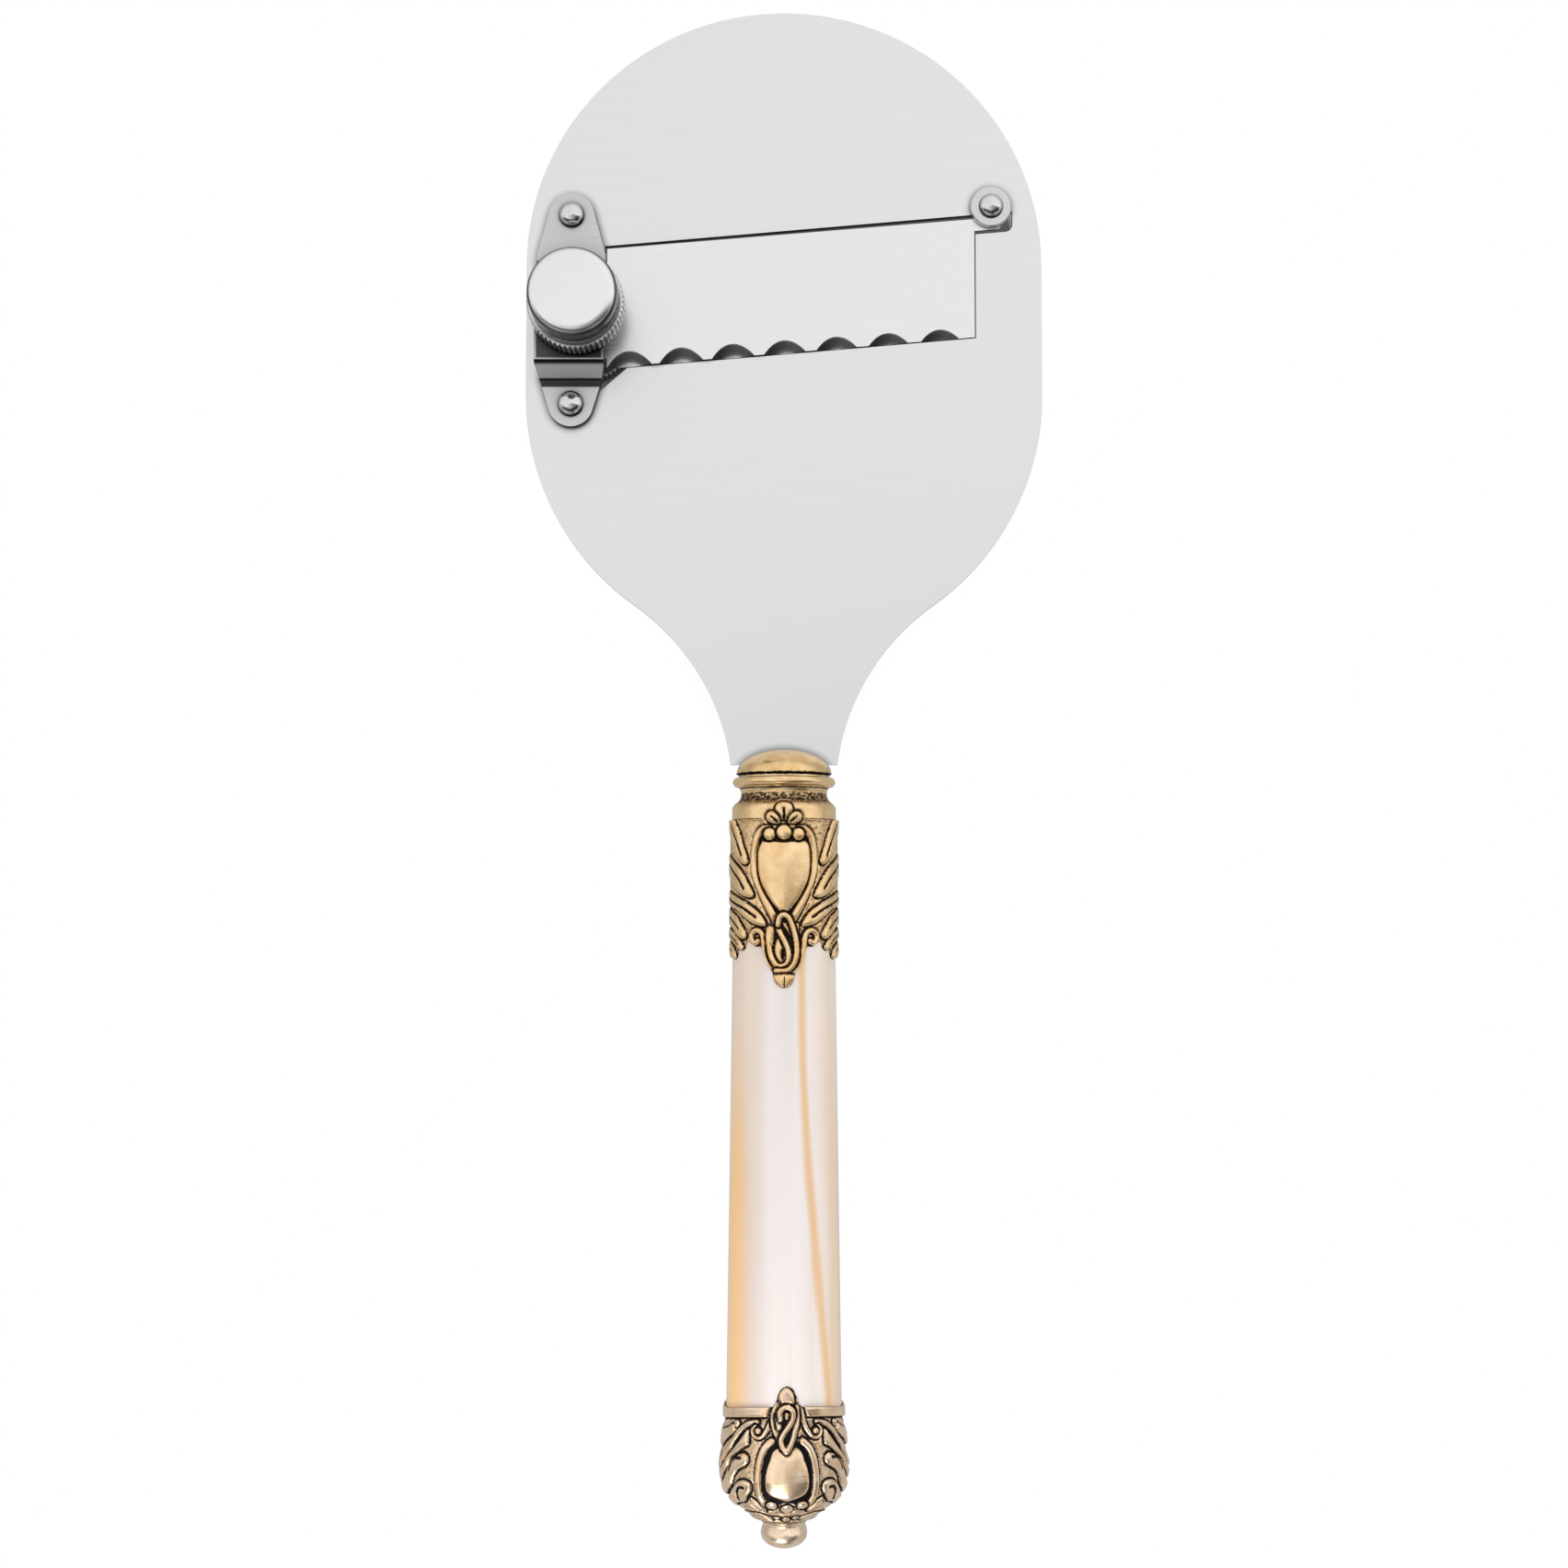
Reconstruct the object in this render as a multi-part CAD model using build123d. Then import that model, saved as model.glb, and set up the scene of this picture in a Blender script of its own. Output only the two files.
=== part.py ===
"""Truffle slicer: a steel paddle with an adjustable scalloped blade and a capped, turned handle.

The slicer lies face up. X runs across the paddle, Y from the pommel to the rounded tip and Z up.
Y is 0 where the neck of the paddle meets the handle. Heights are counted from the middle plane of
the paddle sheet, and rest_height lifts the finished pieces onto the table.
"""
from build123d import *
import math
import os

# Whole object
overall_length = 250.5
paddle_length = 125.25
rest_height = 10.9
overrun = 60.0
slip_gap = 0.05

# Paddle sheet
plate_t = 1.2
plate_half_w = 42.5
plate_edge_r = 0.25
lower_arc_share = 0.4862
neck_half_w = 8.4
neck_arc_y = -4.9
tang_half_w = 4.2
tang_length = 16.0

# Blade pivot at the right of the window
pivot_inset = 8.35
pivot_from_tip = 32.95
blade_slant = 4.95
blade_rest_tilt = 0.68
pivot_shank_r = 1.2
pivot_running_gap = 0.08
pivot_washer_r = 3.4
pivot_washer_t = 0.9
pivot_washer_lift = 0.1
pivot_dome_r = 2.05
pivot_dome_h = 1.55
lap_gap = 0.16
lug_r = 2.7
ear_r = 3.1

# Window in the paddle, measured across the blade from the pivot
window_top_w = 0.92
window_lip_w = 21.57
window_right_inset = 10.85
notch_right_inset = 4.75
notch_w = 4.22
notch_corner_r = 1.2
window_left_inset = 3.3
corner_slant = 41.0
corner_from_strap = 9.2
corner_drop = 4.7
corner_width = 1.6
window_corner_r = 0.8

# Blade
blade_t = 1.0
blade_top_gap = 0.7
blade_side_gap = 0.2
tab_low_w = 3.62
tab_end_r = 0.7
tab_overhang = 1.9
tongue_gap = 1.3
scallop_pitch = 8.55
scallop_first_inset = 5.95
scallop_wheel_r = 8.4
scallop_angle = 20.6
scallop_depth_near = 0.66
scallop_depth_far = 0.94
scallop_wheel_reach = 10.0

# Hat-shaped bridge over the blade's moving end
strap_t = 1.2
strap_half_w = 5.65
strap_inset = 7.5
strap_foot_low = 4.0
strap_foot_high = 7.9
strap_end_r = 3.7
bridge_from_pivot = 9.5
bridge_span = 19.6
bridge_rise = 4.0
bridge_wall_run = 2.2
bridge_bend_r = 0.7
taper_low_inset = 1.8
taper_high_outset = 1.2
rivet_shank_r = 1.5
rivet_dome_r = 2.15
rivet_dome_h = 1.7
rivet_tail_r = 2.3
rivet_tail_h = 0.6

# Knob, spindle and lock wheel
axis_from_strap = 1.4
axis_above_middle = 1.1
spindle_r = 2.0
spindle_running_gap = 0.08
spindle_groove_r = 1.6
spindle_end_recess = 0.5
knob_washer_r = 5.0
knob_washer_t = 0.35
knob_knurl_r = 7.85
knob_knurl_h = 4.2
knob_knurl_chamfer = 0.35
knob_ledge_r = 7.0
knob_ledge_h = 0.3
knurl_depth = 0.32
knurl_pitch = 0.85
crest_share = 0.3
valley_share = 0.65
cap_neck_r = 6.2
cap_neck_h = 1.2
cap_r = 7.2
cap_flare_h = 1.4
cap_side_h = 0.9
cap_shoulder_r = 2.3
cap_spigot_h = 2.4
cap_spigot_r = 4.4
clip_r = 3.5
clip_t = 0.5
clip_mouth = 1.5
bush_r = 3.5
bush_spigot_r = 2.9
bush_flange_r = 3.9
bush_flange_h = 0.7
bush_bore_gap = 0.35
wheel_r = 8.9
wheel_h = 3.9
wheel_bore_gap = 0.4
wheel_recess_r = 5.2
wheel_recess_h = 0.4

# Turned top of the handle
dome_r = 7.75
dome_h = 4.1
dome_base_y = -1.62
dome_spigot_r = 5.0
dome_spigot_h = 2.0
groove_r = 7.35
groove_h = 0.55
ring_r = 8.35
ring_h = 1.55
waist_r = 7.1
waist_y = -5.5
flare_r = 8.45
flare_top_y = -7.0
flare_end_y = -9.15
collar_bore_r = 5.6
collar_floor_h = 2.1

# Cast upper ferrule
ferrule_r = 8.65
ferrule_inner_r = 7.6
ferrule_register_length = 17.8
ferrule_length = 26.6
ferrule_relief = 0.4

# Grip
grip_top_r = 8.3
grip_bottom_r = 9.25
grip_spigot_r = 7.5
grip_foot_r = 8.4
grip_foot_length = 6.0
grip_bore_r = 2.4
seal_t = 0.9

# Pommel and finial
pommel_length = 22.4
pommel_rim_r = 9.6
pommel_rim_h = 2.1
pommel_throat_r = 9.4
pommel_belly_r = 10.2
pommel_belly_drop = 9.75
pommel_bowl_r = 9.25
pommel_bowl_drop = 13.55
pommel_foot_r = 5.4
pommel_foot_drop = 17.05
pommel_relief = 0.35
finial_waist_r = 3.35
finial_waist_drop = 1.5
finial_r = 3.7
finial_button_drop = 3.0

# Tie rod and what it clamps
coupler_r = 5.5
coupler_top_y = -4.2
coupler_length = 16.0
coupler_socket = 3.6
pin_r = 1.5
pin_y = -10.5
rod_r = 2.0
rod_end_inset = 2.25
nut_across_flats = 7.0
nut_t = 3.2

cos_slant = math.cos(math.radians(blade_slant))
sin_slant = math.sin(math.radians(blade_slant))
half_t = plate_t / 2
strap_top = half_t + strap_t
bridge_top = strap_top + bridge_rise
bridge_underside = bridge_top - strap_t

handle_length = overall_length - paddle_length
finial_end_y = -handle_length
pommel_rim_y = finial_end_y + pommel_length
pommel_belly_y = pommel_rim_y - pommel_belly_drop
pommel_bowl_y = pommel_rim_y - pommel_bowl_drop
pommel_foot_y = pommel_rim_y - pommel_foot_drop
finial_waist_y = pommel_foot_y - finial_waist_drop
finial_button_y = pommel_foot_y - finial_button_drop
rod_end_y = finial_end_y + rod_end_inset

lower_arc_y = paddle_length * lower_arc_share
pivot_x = plate_half_w - pivot_inset
pivot_y = paddle_length - pivot_from_tip
window_right_x = plate_half_w - window_right_inset
notch_right_x = plate_half_w - notch_right_inset
window_left_x = window_left_inset - plate_half_w
strap_x = strap_inset - plate_half_w
corner_start_x = strap_x + corner_from_strap
bridge_high_y = pivot_y - bridge_from_pivot
bridge_low_y = bridge_high_y - bridge_span
strap_rivet_low_y = bridge_low_y - strap_foot_low
strap_rivet_high_y = bridge_high_y + strap_foot_high
taper_low_y = bridge_low_y + taper_low_inset
taper_high_y = bridge_high_y + taper_high_outset
axis_x = strap_x + axis_from_strap
axis_y = (bridge_low_y + bridge_high_y) / 2 + axis_above_middle
scallop_first_x = window_right_x - scallop_first_inset


def blade_point(along, across):
    """A place counted from the pivot: along the blade to the left, and across it to the edge."""
    return (pivot_x - along * cos_slant + across * sin_slant,
            pivot_y - along * sin_slant - across * cos_slant)


def blade_point_at_x(x, across):
    """The place on a line parallel to the blade where it crosses a given X."""
    along = (pivot_x + across * sin_slant - x) / cos_slant
    return blade_point(along, across)


def outline(points):
    return make_face(Polyline(*points, close=True))


def slab(face, low, high):
    """A flat outline given thickness between two heights."""
    return Pos(0, 0, low) * extrude(face, high - low)


def disc(x, y, radius, low, high):
    return slab(Pos(x, y) * Circle(radius), low, high)


def round_corners(face, places, radius):
    """Round the corners of an outline that lie nearest to the given places."""
    corners = [face.vertices().sort_by_distance(Vector(*place))[0] for place in places]
    return fillet(corners, radius)


def turned_about_y(edges):
    """A turned piece about the handle's axis, from its half section."""
    return revolve(make_face(Wire(edges)), Axis.Y)


def turned_about_z(points, x, y):
    """A turned piece about an upright axis, from radii and heights."""
    return Pos(x, y) * Rot(90, 0, 0) * revolve(outline(points), Axis.Y)


def tube_y(outer, inner, top, bottom):
    """A plain tube about the handle's axis."""
    body = revolve(outline([(0, bottom), (outer, bottom), (outer, top), (0, top)]), Axis.Y)
    if inner:
        body -= revolve(outline([(0, bottom), (inner, bottom), (inner, top), (0, top)]), Axis.Y)
    return body


def knurled_wheel(radius, low, high, chamfer_size, x, y):
    """A disc whose rim is cut into straight ridges."""
    teeth = round(2 * math.pi * radius / knurl_pitch)
    points = []
    for tooth in range(teeth):
        for share, r in ((0, radius), (crest_share, radius), (valley_share, radius - knurl_depth)):
            angle = 2 * math.pi * (tooth + share) / teeth
            points.append((r * math.cos(angle), r * math.sin(angle)))
    ridged = Pos(x, y) * slab(outline(points), low, high)
    blank = turned_about_z([(0, low), (radius - chamfer_size, low), (radius, low + chamfer_size),
                            (radius, high - chamfer_size), (radius - chamfer_size, high), (0, high)],
                           x, y)
    return ridged & blank


def rivet(x, y, dome_r, dome_h, seat, shank_r):
    """A domed rivet: head on its seat, shank through the sheet and a closed tail below it."""
    tail_top = -half_t
    section = [(0, seat + dome_h)]
    for step in range(1, 6):
        angle = step * math.pi / 12
        section.append((dome_r * math.sin(angle), seat + dome_h * math.cos(angle)))
    section += [(dome_r, seat + dome_h / 8), (dome_r, seat), (shank_r, seat), (shank_r, tail_top),
                (rivet_tail_r, tail_top), (rivet_tail_r, tail_top - rivet_tail_h / 2),
                (rivet_tail_r - rivet_tail_h / 2, tail_top - rivet_tail_h), (0, tail_top - rivet_tail_h)]
    return turned_about_z(section, x, y)


# Paddle


def paddle_outline():
    """Round tip, straight sides, and two tangent arcs each side down to the neck and tang."""
    tip_arc_y = paddle_length - plate_half_w
    drop = lower_arc_y - neck_arc_y
    neck_arc_r = (drop ** 2 + neck_half_w ** 2 - plate_half_w ** 2) / (2 * (plate_half_w - neck_half_w))
    neck_arc_x = neck_half_w + neck_arc_r
    reach = plate_half_w / (plate_half_w + neck_arc_r)
    joint_x = neck_arc_x * reach
    joint_y = lower_arc_y - drop * reach
    end_x = neck_arc_x - math.sqrt(neck_arc_r ** 2 - neck_arc_y ** 2)
    joint_angle = math.atan2(joint_y - lower_arc_y, joint_x)
    mid_x = plate_half_w * math.cos(joint_angle / 2)
    mid_y = lower_arc_y + plate_half_w * math.sin(joint_angle / 2)
    low_angle = math.atan2(joint_y - neck_arc_y, joint_x - neck_arc_x)
    end_angle = math.atan2(-neck_arc_y, end_x - neck_arc_x)
    bend_angle = (low_angle + end_angle) / 2
    bend_x = neck_arc_x + neck_arc_r * math.cos(bend_angle)
    bend_y = neck_arc_y + neck_arc_r * math.sin(bend_angle)
    side = [
        Line((plate_half_w, tip_arc_y), (plate_half_w, lower_arc_y)),
        ThreePointArc((plate_half_w, lower_arc_y), (mid_x, mid_y), (joint_x, joint_y)),
        ThreePointArc((joint_x, joint_y), (bend_x, bend_y), (end_x, 0)),
        Line((end_x, 0), (tang_half_w, 0)),
        Line((tang_half_w, 0), (tang_half_w, -tang_length)),
    ]
    other = [edge.mirror(Plane.YZ) for edge in side]
    tip = ThreePointArc((plate_half_w, tip_arc_y), (0, paddle_length), (-plate_half_w, tip_arc_y))
    foot = Line((-tang_half_w, -tang_length), (tang_half_w, -tang_length))
    return make_face(Wire(side + other + [tip, foot]))


def window_outline():
    """The opening that the blade fills, with its notch at the pivot and its cut-away corner."""
    inner_x = strap_x + strap_half_w - blade_side_gap
    tongue_top = bridge_high_y - strap_t
    slope = math.tan(math.radians(corner_slant))
    lip_start = blade_point_at_x(corner_start_x, window_lip_w)
    corner_low = (lip_start[0] - corner_drop / slope, lip_start[1] - corner_drop)
    corner_in = (corner_low[0] - corner_width, bridge_low_y)
    notch_low = blade_point_at_x(notch_right_x, notch_w)
    low_left = (window_left_x, bridge_low_y)
    high_left = (window_left_x, tongue_top)
    face = outline([
        blade_point_at_x(notch_right_x, window_top_w),
        notch_low,
        blade_point_at_x(window_right_x, notch_w),
        blade_point_at_x(window_right_x, window_lip_w),
        lip_start,
        corner_low,
        corner_in,
        low_left,
        high_left,
        (inner_x, tongue_top),
        blade_point_at_x(inner_x, window_top_w),
    ])
    face = round_corners(face, [notch_low], notch_corner_r)
    return round_corners(face, [low_left, high_left, corner_low], window_corner_r)


def slicer_plate():
    sheet = slab(paddle_outline(), -half_t, half_t)
    for face in (sheet.faces().sort_by(Axis.Z)[-1], sheet.faces().sort_by(Axis.Z)[0]):
        rim = [edge for edge in face.outer_wire().edges() if edge.center().Y > 0]
        sheet = fillet(rim, plate_edge_r)
    ear = disc(pivot_x, pivot_y, ear_r - lap_gap, -half_t, -lap_gap)
    sheet -= slab(window_outline(), -plate_t, plate_t)
    sheet -= disc(pivot_x, pivot_y, ear_r, -lap_gap, plate_t)
    sheet += ear
    sheet -= disc(pivot_x, pivot_y, pivot_shank_r + slip_gap, -plate_t, plate_t)
    for y in (strap_rivet_low_y, strap_rivet_high_y):
        sheet -= disc(strap_x, y, rivet_shank_r + slip_gap, -plate_t, plate_t)
    return sheet - disc(0, pin_y, pin_r + slip_gap, -plate_t, plate_t)


# Bridge bracket


def bridge_bracket():
    """A strap bent up over the blade, with a tapered riveted foot at each end."""
    run = bridge_wall_run
    back = strap_t * (math.hypot(run, bridge_rise) - run) / bridge_rise
    low_end = strap_rivet_low_y - strap_end_r
    high_end = strap_rivet_high_y + strap_end_r
    upper = [(low_end, strap_top), (bridge_low_y, strap_top), (bridge_low_y + run, bridge_top),
             (bridge_high_y - run, bridge_top), (bridge_high_y, strap_top), (high_end, strap_top)]
    lower = [(high_end, half_t), (bridge_high_y - back, half_t),
             (bridge_high_y - run - back, bridge_underside),
             (bridge_low_y + run + back, bridge_underside), (bridge_low_y + back, half_t),
             (low_end, half_t)]
    side = outline(upper + lower)
    bends = [side.vertices().sort_by_distance(Vector(*place))[0] for place in upper[1:-1] + lower[1:-1]]
    side = fillet(bends, bridge_bend_r)
    strip = Pos(strap_x - overrun, 0, 0) * extrude(Plane.YZ * side, 2 * overrun)
    feet = make_hull(
        (Pos(strap_x, strap_rivet_low_y) * Circle(strap_end_r)).edges()
        + Line((strap_x - strap_half_w, taper_low_y), (strap_x + strap_half_w, taper_low_y)).edges()
        + Line((strap_x - strap_half_w, taper_high_y), (strap_x + strap_half_w, taper_high_y)).edges()
        + (Pos(strap_x, strap_rivet_high_y) * Circle(strap_end_r)).edges())
    bracket = strip & slab(feet, 0, bridge_top + strap_t)
    for y in (strap_rivet_low_y, strap_rivet_high_y):
        bracket -= disc(strap_x, y, rivet_shank_r + slip_gap, 0, bridge_top + strap_t)
    return bracket - disc(axis_x, axis_y, spindle_r + spindle_running_gap, 0, bridge_top + strap_t)


def bracket_rivets():
    return Compound([rivet(strap_x, y, rivet_dome_r, rivet_dome_h, strap_top, rivet_shank_r)
                     for y in (strap_rivet_low_y, strap_rivet_high_y)])


# Blade and its pivot


def tab_top():
    return blade_t / 2


def washer_low():
    return half_t + pivot_washer_lift


def tilt_blade(piece):
    """Turn a piece about the pivot by the small lift that the knob gives the blade at rest."""
    direction = Vector(-sin_slant, cos_slant, 0)
    return piece.rotate(Axis((pivot_x, pivot_y, 0), direction), blade_rest_tilt)


def blade_low_w():
    return window_lip_w - blade_side_gap


def blade():
    """A flat blade with a half-thickness lug at the pivot, a tongue and hollow-ground scallops."""
    top_w = window_top_w + blade_top_gap
    right_x = window_right_x - blade_side_gap
    step_x = strap_x + strap_half_w + blade_side_gap
    end_x = window_left_x + blade_side_gap * 3
    tongue_low = bridge_low_y + strap_t + bridge_wall_run + blade_side_gap
    tongue_high = bridge_high_y - strap_t - tongue_gap
    low_w = blade_low_w()
    tab_end = notch_right_x - tab_overhang
    body = outline([
        blade_point_at_x(right_x, tab_low_w),
        blade_point_at_x(right_x, low_w),
        blade_point_at_x(step_x, low_w),
        (step_x, tongue_low),
        (end_x, tongue_low),
        (end_x, tongue_high),
        (step_x, tongue_high),
        blade_point_at_x(step_x, top_w),
        blade_point_at_x(right_x, top_w),
    ])
    tab = outline([
        blade_point_at_x(right_x - lug_r, top_w),
        blade_point_at_x(right_x - lug_r, tab_low_w),
        blade_point_at_x(tab_end, tab_low_w),
        blade_point_at_x(tab_end, top_w),
    ])
    tab = round_corners(tab, [blade_point_at_x(tab_end, tab_low_w)], tab_end_r)
    steel = slab(body, -blade_t / 2, blade_t / 2)
    steel += slab(tab, 0, tab_top())
    steel += disc(pivot_x, pivot_y, lug_r, 0, tab_top())
    steel -= disc(pivot_x, pivot_y, ear_r + lap_gap, -blade_t, 0)
    steel -= disc(pivot_x, pivot_y, pivot_shank_r + pivot_running_gap, -blade_t, blade_t)
    for cutter in scallop_cutters():
        steel -= cutter
    steel = tilt_blade(steel)
    return steel - disc(axis_x, axis_y, bush_spigot_r + slip_gap, -overrun, overrun)


def scallop_cutters():
    """Grinding wheels laid across the edge: each takes a crescent that deepens to the edge."""
    cutters = []
    step = scallop_pitch * cos_slant
    reach = scallop_first_x - strap_x - strap_half_w
    for index in range(int(reach / step) + 1):
        share = index * step / reach
        depth = scallop_depth_near + (scallop_depth_far - scallop_depth_near) * share
        x, y = blade_point_at_x(scallop_first_x - index * step, blade_low_w())
        lean = math.radians(scallop_angle)
        lift = (scallop_wheel_r - depth * math.cos(lean)) / math.cos(lean)
        wheel = Cylinder(scallop_wheel_r, scallop_wheel_reach * 2)
        wheel = Rot(0, 0, blade_slant) * Rot(90 + scallop_angle, 0, 0) * wheel
        cutters.append(Pos(x, y, tab_top() + lift) * wheel)
    return cutters


def blade_rivet():
    seat = washer_low() + pivot_washer_t
    return rivet(pivot_x, pivot_y, pivot_dome_r, pivot_dome_h, seat, pivot_shank_r)


def rivet_washer():
    low = washer_low()
    high = low + pivot_washer_t
    edge = pivot_washer_t / 5
    ring = turned_about_z([(pivot_shank_r + slip_gap, low), (pivot_washer_r, low),
                           (pivot_washer_r, high - edge), (pivot_washer_r - edge, high),
                           (pivot_shank_r + slip_gap, high)], pivot_x, pivot_y)
    return ring


# Knob, spindle, bush and lock wheel

washer_base = bridge_top + slip_gap
knurl_base = washer_base + knob_washer_t
knurl_top = knurl_base + knob_knurl_h
ledge_top = knurl_top + knob_ledge_h
cap_top = ledge_top + cap_neck_h + cap_flare_h + cap_side_h + cap_shoulder_r
wheel_top = -rest_height + wheel_h
bush_low = wheel_top + slip_gap
spindle_top = ledge_top + cap_spigot_h
clip_top = bridge_underside - slip_gap
knob_arm = (pivot_x - axis_x) * cos_slant + (pivot_y - axis_y) * sin_slant
blade_lift = knob_arm * math.tan(math.radians(blade_rest_tilt))


def knob_wheel():
    body = knurled_wheel(knob_knurl_r, knurl_base, knurl_top, knob_knurl_chamfer, axis_x, axis_y)
    body += disc(axis_x, axis_y, knob_ledge_r, knurl_top, ledge_top)
    body -= disc(axis_x, axis_y, cap_spigot_r + slip_gap, ledge_top - cap_spigot_h, ledge_top)
    return body - disc(axis_x, axis_y, spindle_r + slip_gap, 0, ledge_top)


def knob_cap():
    """A soft-shouldered button on a narrower neck, with a spigot down into the knurled wheel."""
    flare = ledge_top + cap_neck_h
    side = flare + cap_flare_h
    shoulder = side + cap_side_h
    section = [(0, ledge_top - cap_spigot_h + slip_gap), (cap_spigot_r, ledge_top - cap_spigot_h + slip_gap),
               (cap_spigot_r, ledge_top), (cap_neck_r, ledge_top), (cap_neck_r, flare), (cap_r, side),
               (cap_r, shoulder)]
    for step in range(1, 7):
        angle = step * math.pi / 12
        section.append((cap_r - cap_shoulder_r * (1 - math.cos(angle)),
                        shoulder + cap_shoulder_r * math.sin(angle)))
    section.append((0, cap_top))
    body = turned_about_z(section, axis_x, axis_y)
    return body - disc(axis_x, axis_y, spindle_r + slip_gap, 0, spindle_top)


def knob_spindle():
    """The spindle, with a groove for its clip and an end that stays inside the lock wheel."""
    low = -rest_height + spindle_end_recess
    chamfer_size = spindle_r / 4
    groove_low = clip_top - clip_t
    return turned_about_z([(0, low), (spindle_r - chamfer_size, low), (spindle_r, low + chamfer_size),
                           (spindle_r, groove_low), (spindle_groove_r, groove_low),
                           (spindle_groove_r, clip_top), (spindle_r, clip_top),
                           (spindle_r, spindle_top - slip_gap), (0, spindle_top - slip_gap)],
                          axis_x, axis_y)


def spindle_clip():
    ring = disc(axis_x, axis_y, clip_r, clip_top - clip_t, clip_top)
    ring -= disc(axis_x, axis_y, spindle_groove_r + slip_gap, clip_top - 2 * clip_t, clip_top + clip_t)
    mouth = Pos(axis_x - clip_r, axis_y) * Rectangle(2 * clip_r, 2 * clip_mouth)
    return ring - slab(mouth, clip_top - 2 * clip_t, clip_top + clip_t)


def knob_washer():
    ring = disc(axis_x, axis_y, knob_washer_r, washer_base, knurl_base)
    return ring - disc(axis_x, axis_y, spindle_r + slip_gap, 0, knurl_base)


def blade_bush():
    """A tall nut under the blade whose top is spread over the hole in it."""
    steel_low = blade_lift - blade_t / 2 - 2 * slip_gap
    steel_high = blade_lift + blade_t / 2 + 2 * slip_gap
    flange_top = steel_high + bush_flange_h
    bore = spindle_r + bush_bore_gap
    return turned_about_z([(bore, bush_low), (bush_r, bush_low), (bush_r, steel_low),
                           (bush_spigot_r, steel_low), (bush_spigot_r, steel_high),
                           (bush_flange_r, steel_high), (bush_flange_r, flange_top - slip_gap),
                           (bush_flange_r - bush_flange_h / 2, flange_top), (bore, flange_top)],
                          axis_x, axis_y)


def lock_wheel():
    low = -rest_height
    body = knurled_wheel(wheel_r, low, wheel_top, knob_knurl_chamfer, axis_x, axis_y)
    body -= disc(axis_x, axis_y, wheel_recess_r, wheel_top - wheel_recess_h, wheel_top)
    body += disc(axis_x, axis_y, bush_r, wheel_top - wheel_recess_h, wheel_top)
    return body - disc(axis_x, axis_y, spindle_r + wheel_bore_gap, low, wheel_top)


# Handle


def ferrule_dome():
    """A shallow dome, slotted for the sheet, with a spigot down into the collar."""
    crown_y = dome_base_y + dome_h
    section = [Line((0, dome_base_y), (0, crown_y)),
               EllipticalCenterArc((0, dome_base_y), dome_r, dome_h, start_angle=0, arc_size=90),
               Line((dome_r, dome_base_y), (0, dome_base_y))]
    body = turned_about_y(section)
    body += tube_y(dome_spigot_r, 0, dome_base_y, dome_base_y - dome_spigot_h)
    wide_slot = slab(outline([(-overrun, -slip_gap), (overrun, -slip_gap), (overrun, overrun),
                              (-overrun, overrun)]), -half_t - slip_gap, half_t + slip_gap)
    half = tang_half_w + slip_gap
    tang_slot = slab(outline([(-half, -overrun), (half, -overrun), (half, overrun), (-half, overrun)]),
                     -half_t - slip_gap, half_t + slip_gap)
    return body - wide_slot - tang_slot


def ferrule_collar():
    """Groove, bead, waist and flared ring, turned in one piece round the tang."""
    groove_end = dome_base_y - groove_h
    bead_end = groove_end - ring_h
    bead_mid = (groove_end + bead_end) / 2
    bead_inner = ring_r - ring_h / 2
    lead = (flare_r - waist_r) / 2
    lines = [
        Line((0, dome_base_y), (groove_r, dome_base_y)),
        Line((groove_r, dome_base_y), (groove_r, groove_end)),
        Line((groove_r, groove_end), (bead_inner, groove_end)),
        ThreePointArc((bead_inner, groove_end), (ring_r, bead_mid), (bead_inner, bead_end)),
        Line((bead_inner, bead_end), (groove_r, bead_end)),
        ThreePointArc((groove_r, bead_end), (waist_r, waist_y), (waist_r + lead, flare_top_y + lead)),
        ThreePointArc((waist_r + lead, flare_top_y + lead), (flare_r - lead / 4, flare_top_y + lead / 4),
                      (flare_r, flare_top_y - lead / 2)),
        Line((flare_r, flare_top_y - lead / 2), (flare_r, flare_end_y)),
        Line((flare_r, flare_end_y), (0, flare_end_y)),
        Line((0, flare_end_y), (0, dome_base_y)),
    ]
    body = turned_about_y(lines)
    body -= tube_y(dome_spigot_r + slip_gap, 0, dome_base_y, dome_base_y - collar_floor_h)
    return body - tube_y(collar_bore_r, 0, dome_base_y - collar_floor_h, flare_end_y)


grip_top_y = flare_end_y - slip_gap - seal_t
grip_shoulder_y = flare_end_y - ferrule_register_length
grip_foot_y = pommel_rim_y + slip_gap
grip_end_y = grip_foot_y - grip_foot_length
coupler_end_y = coupler_top_y - coupler_length
pommel_floor_y = grip_end_y - seal_t - slip_gap
nut_seat_y = pommel_foot_y + nut_t + slip_gap


def grip_radius(y):
    """Radius of the tapered grip at a place along the handle."""
    share = (grip_shoulder_y - y) / (grip_shoulder_y - grip_foot_y)
    return grip_top_r + (grip_bottom_r - grip_top_r) * share


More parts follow.
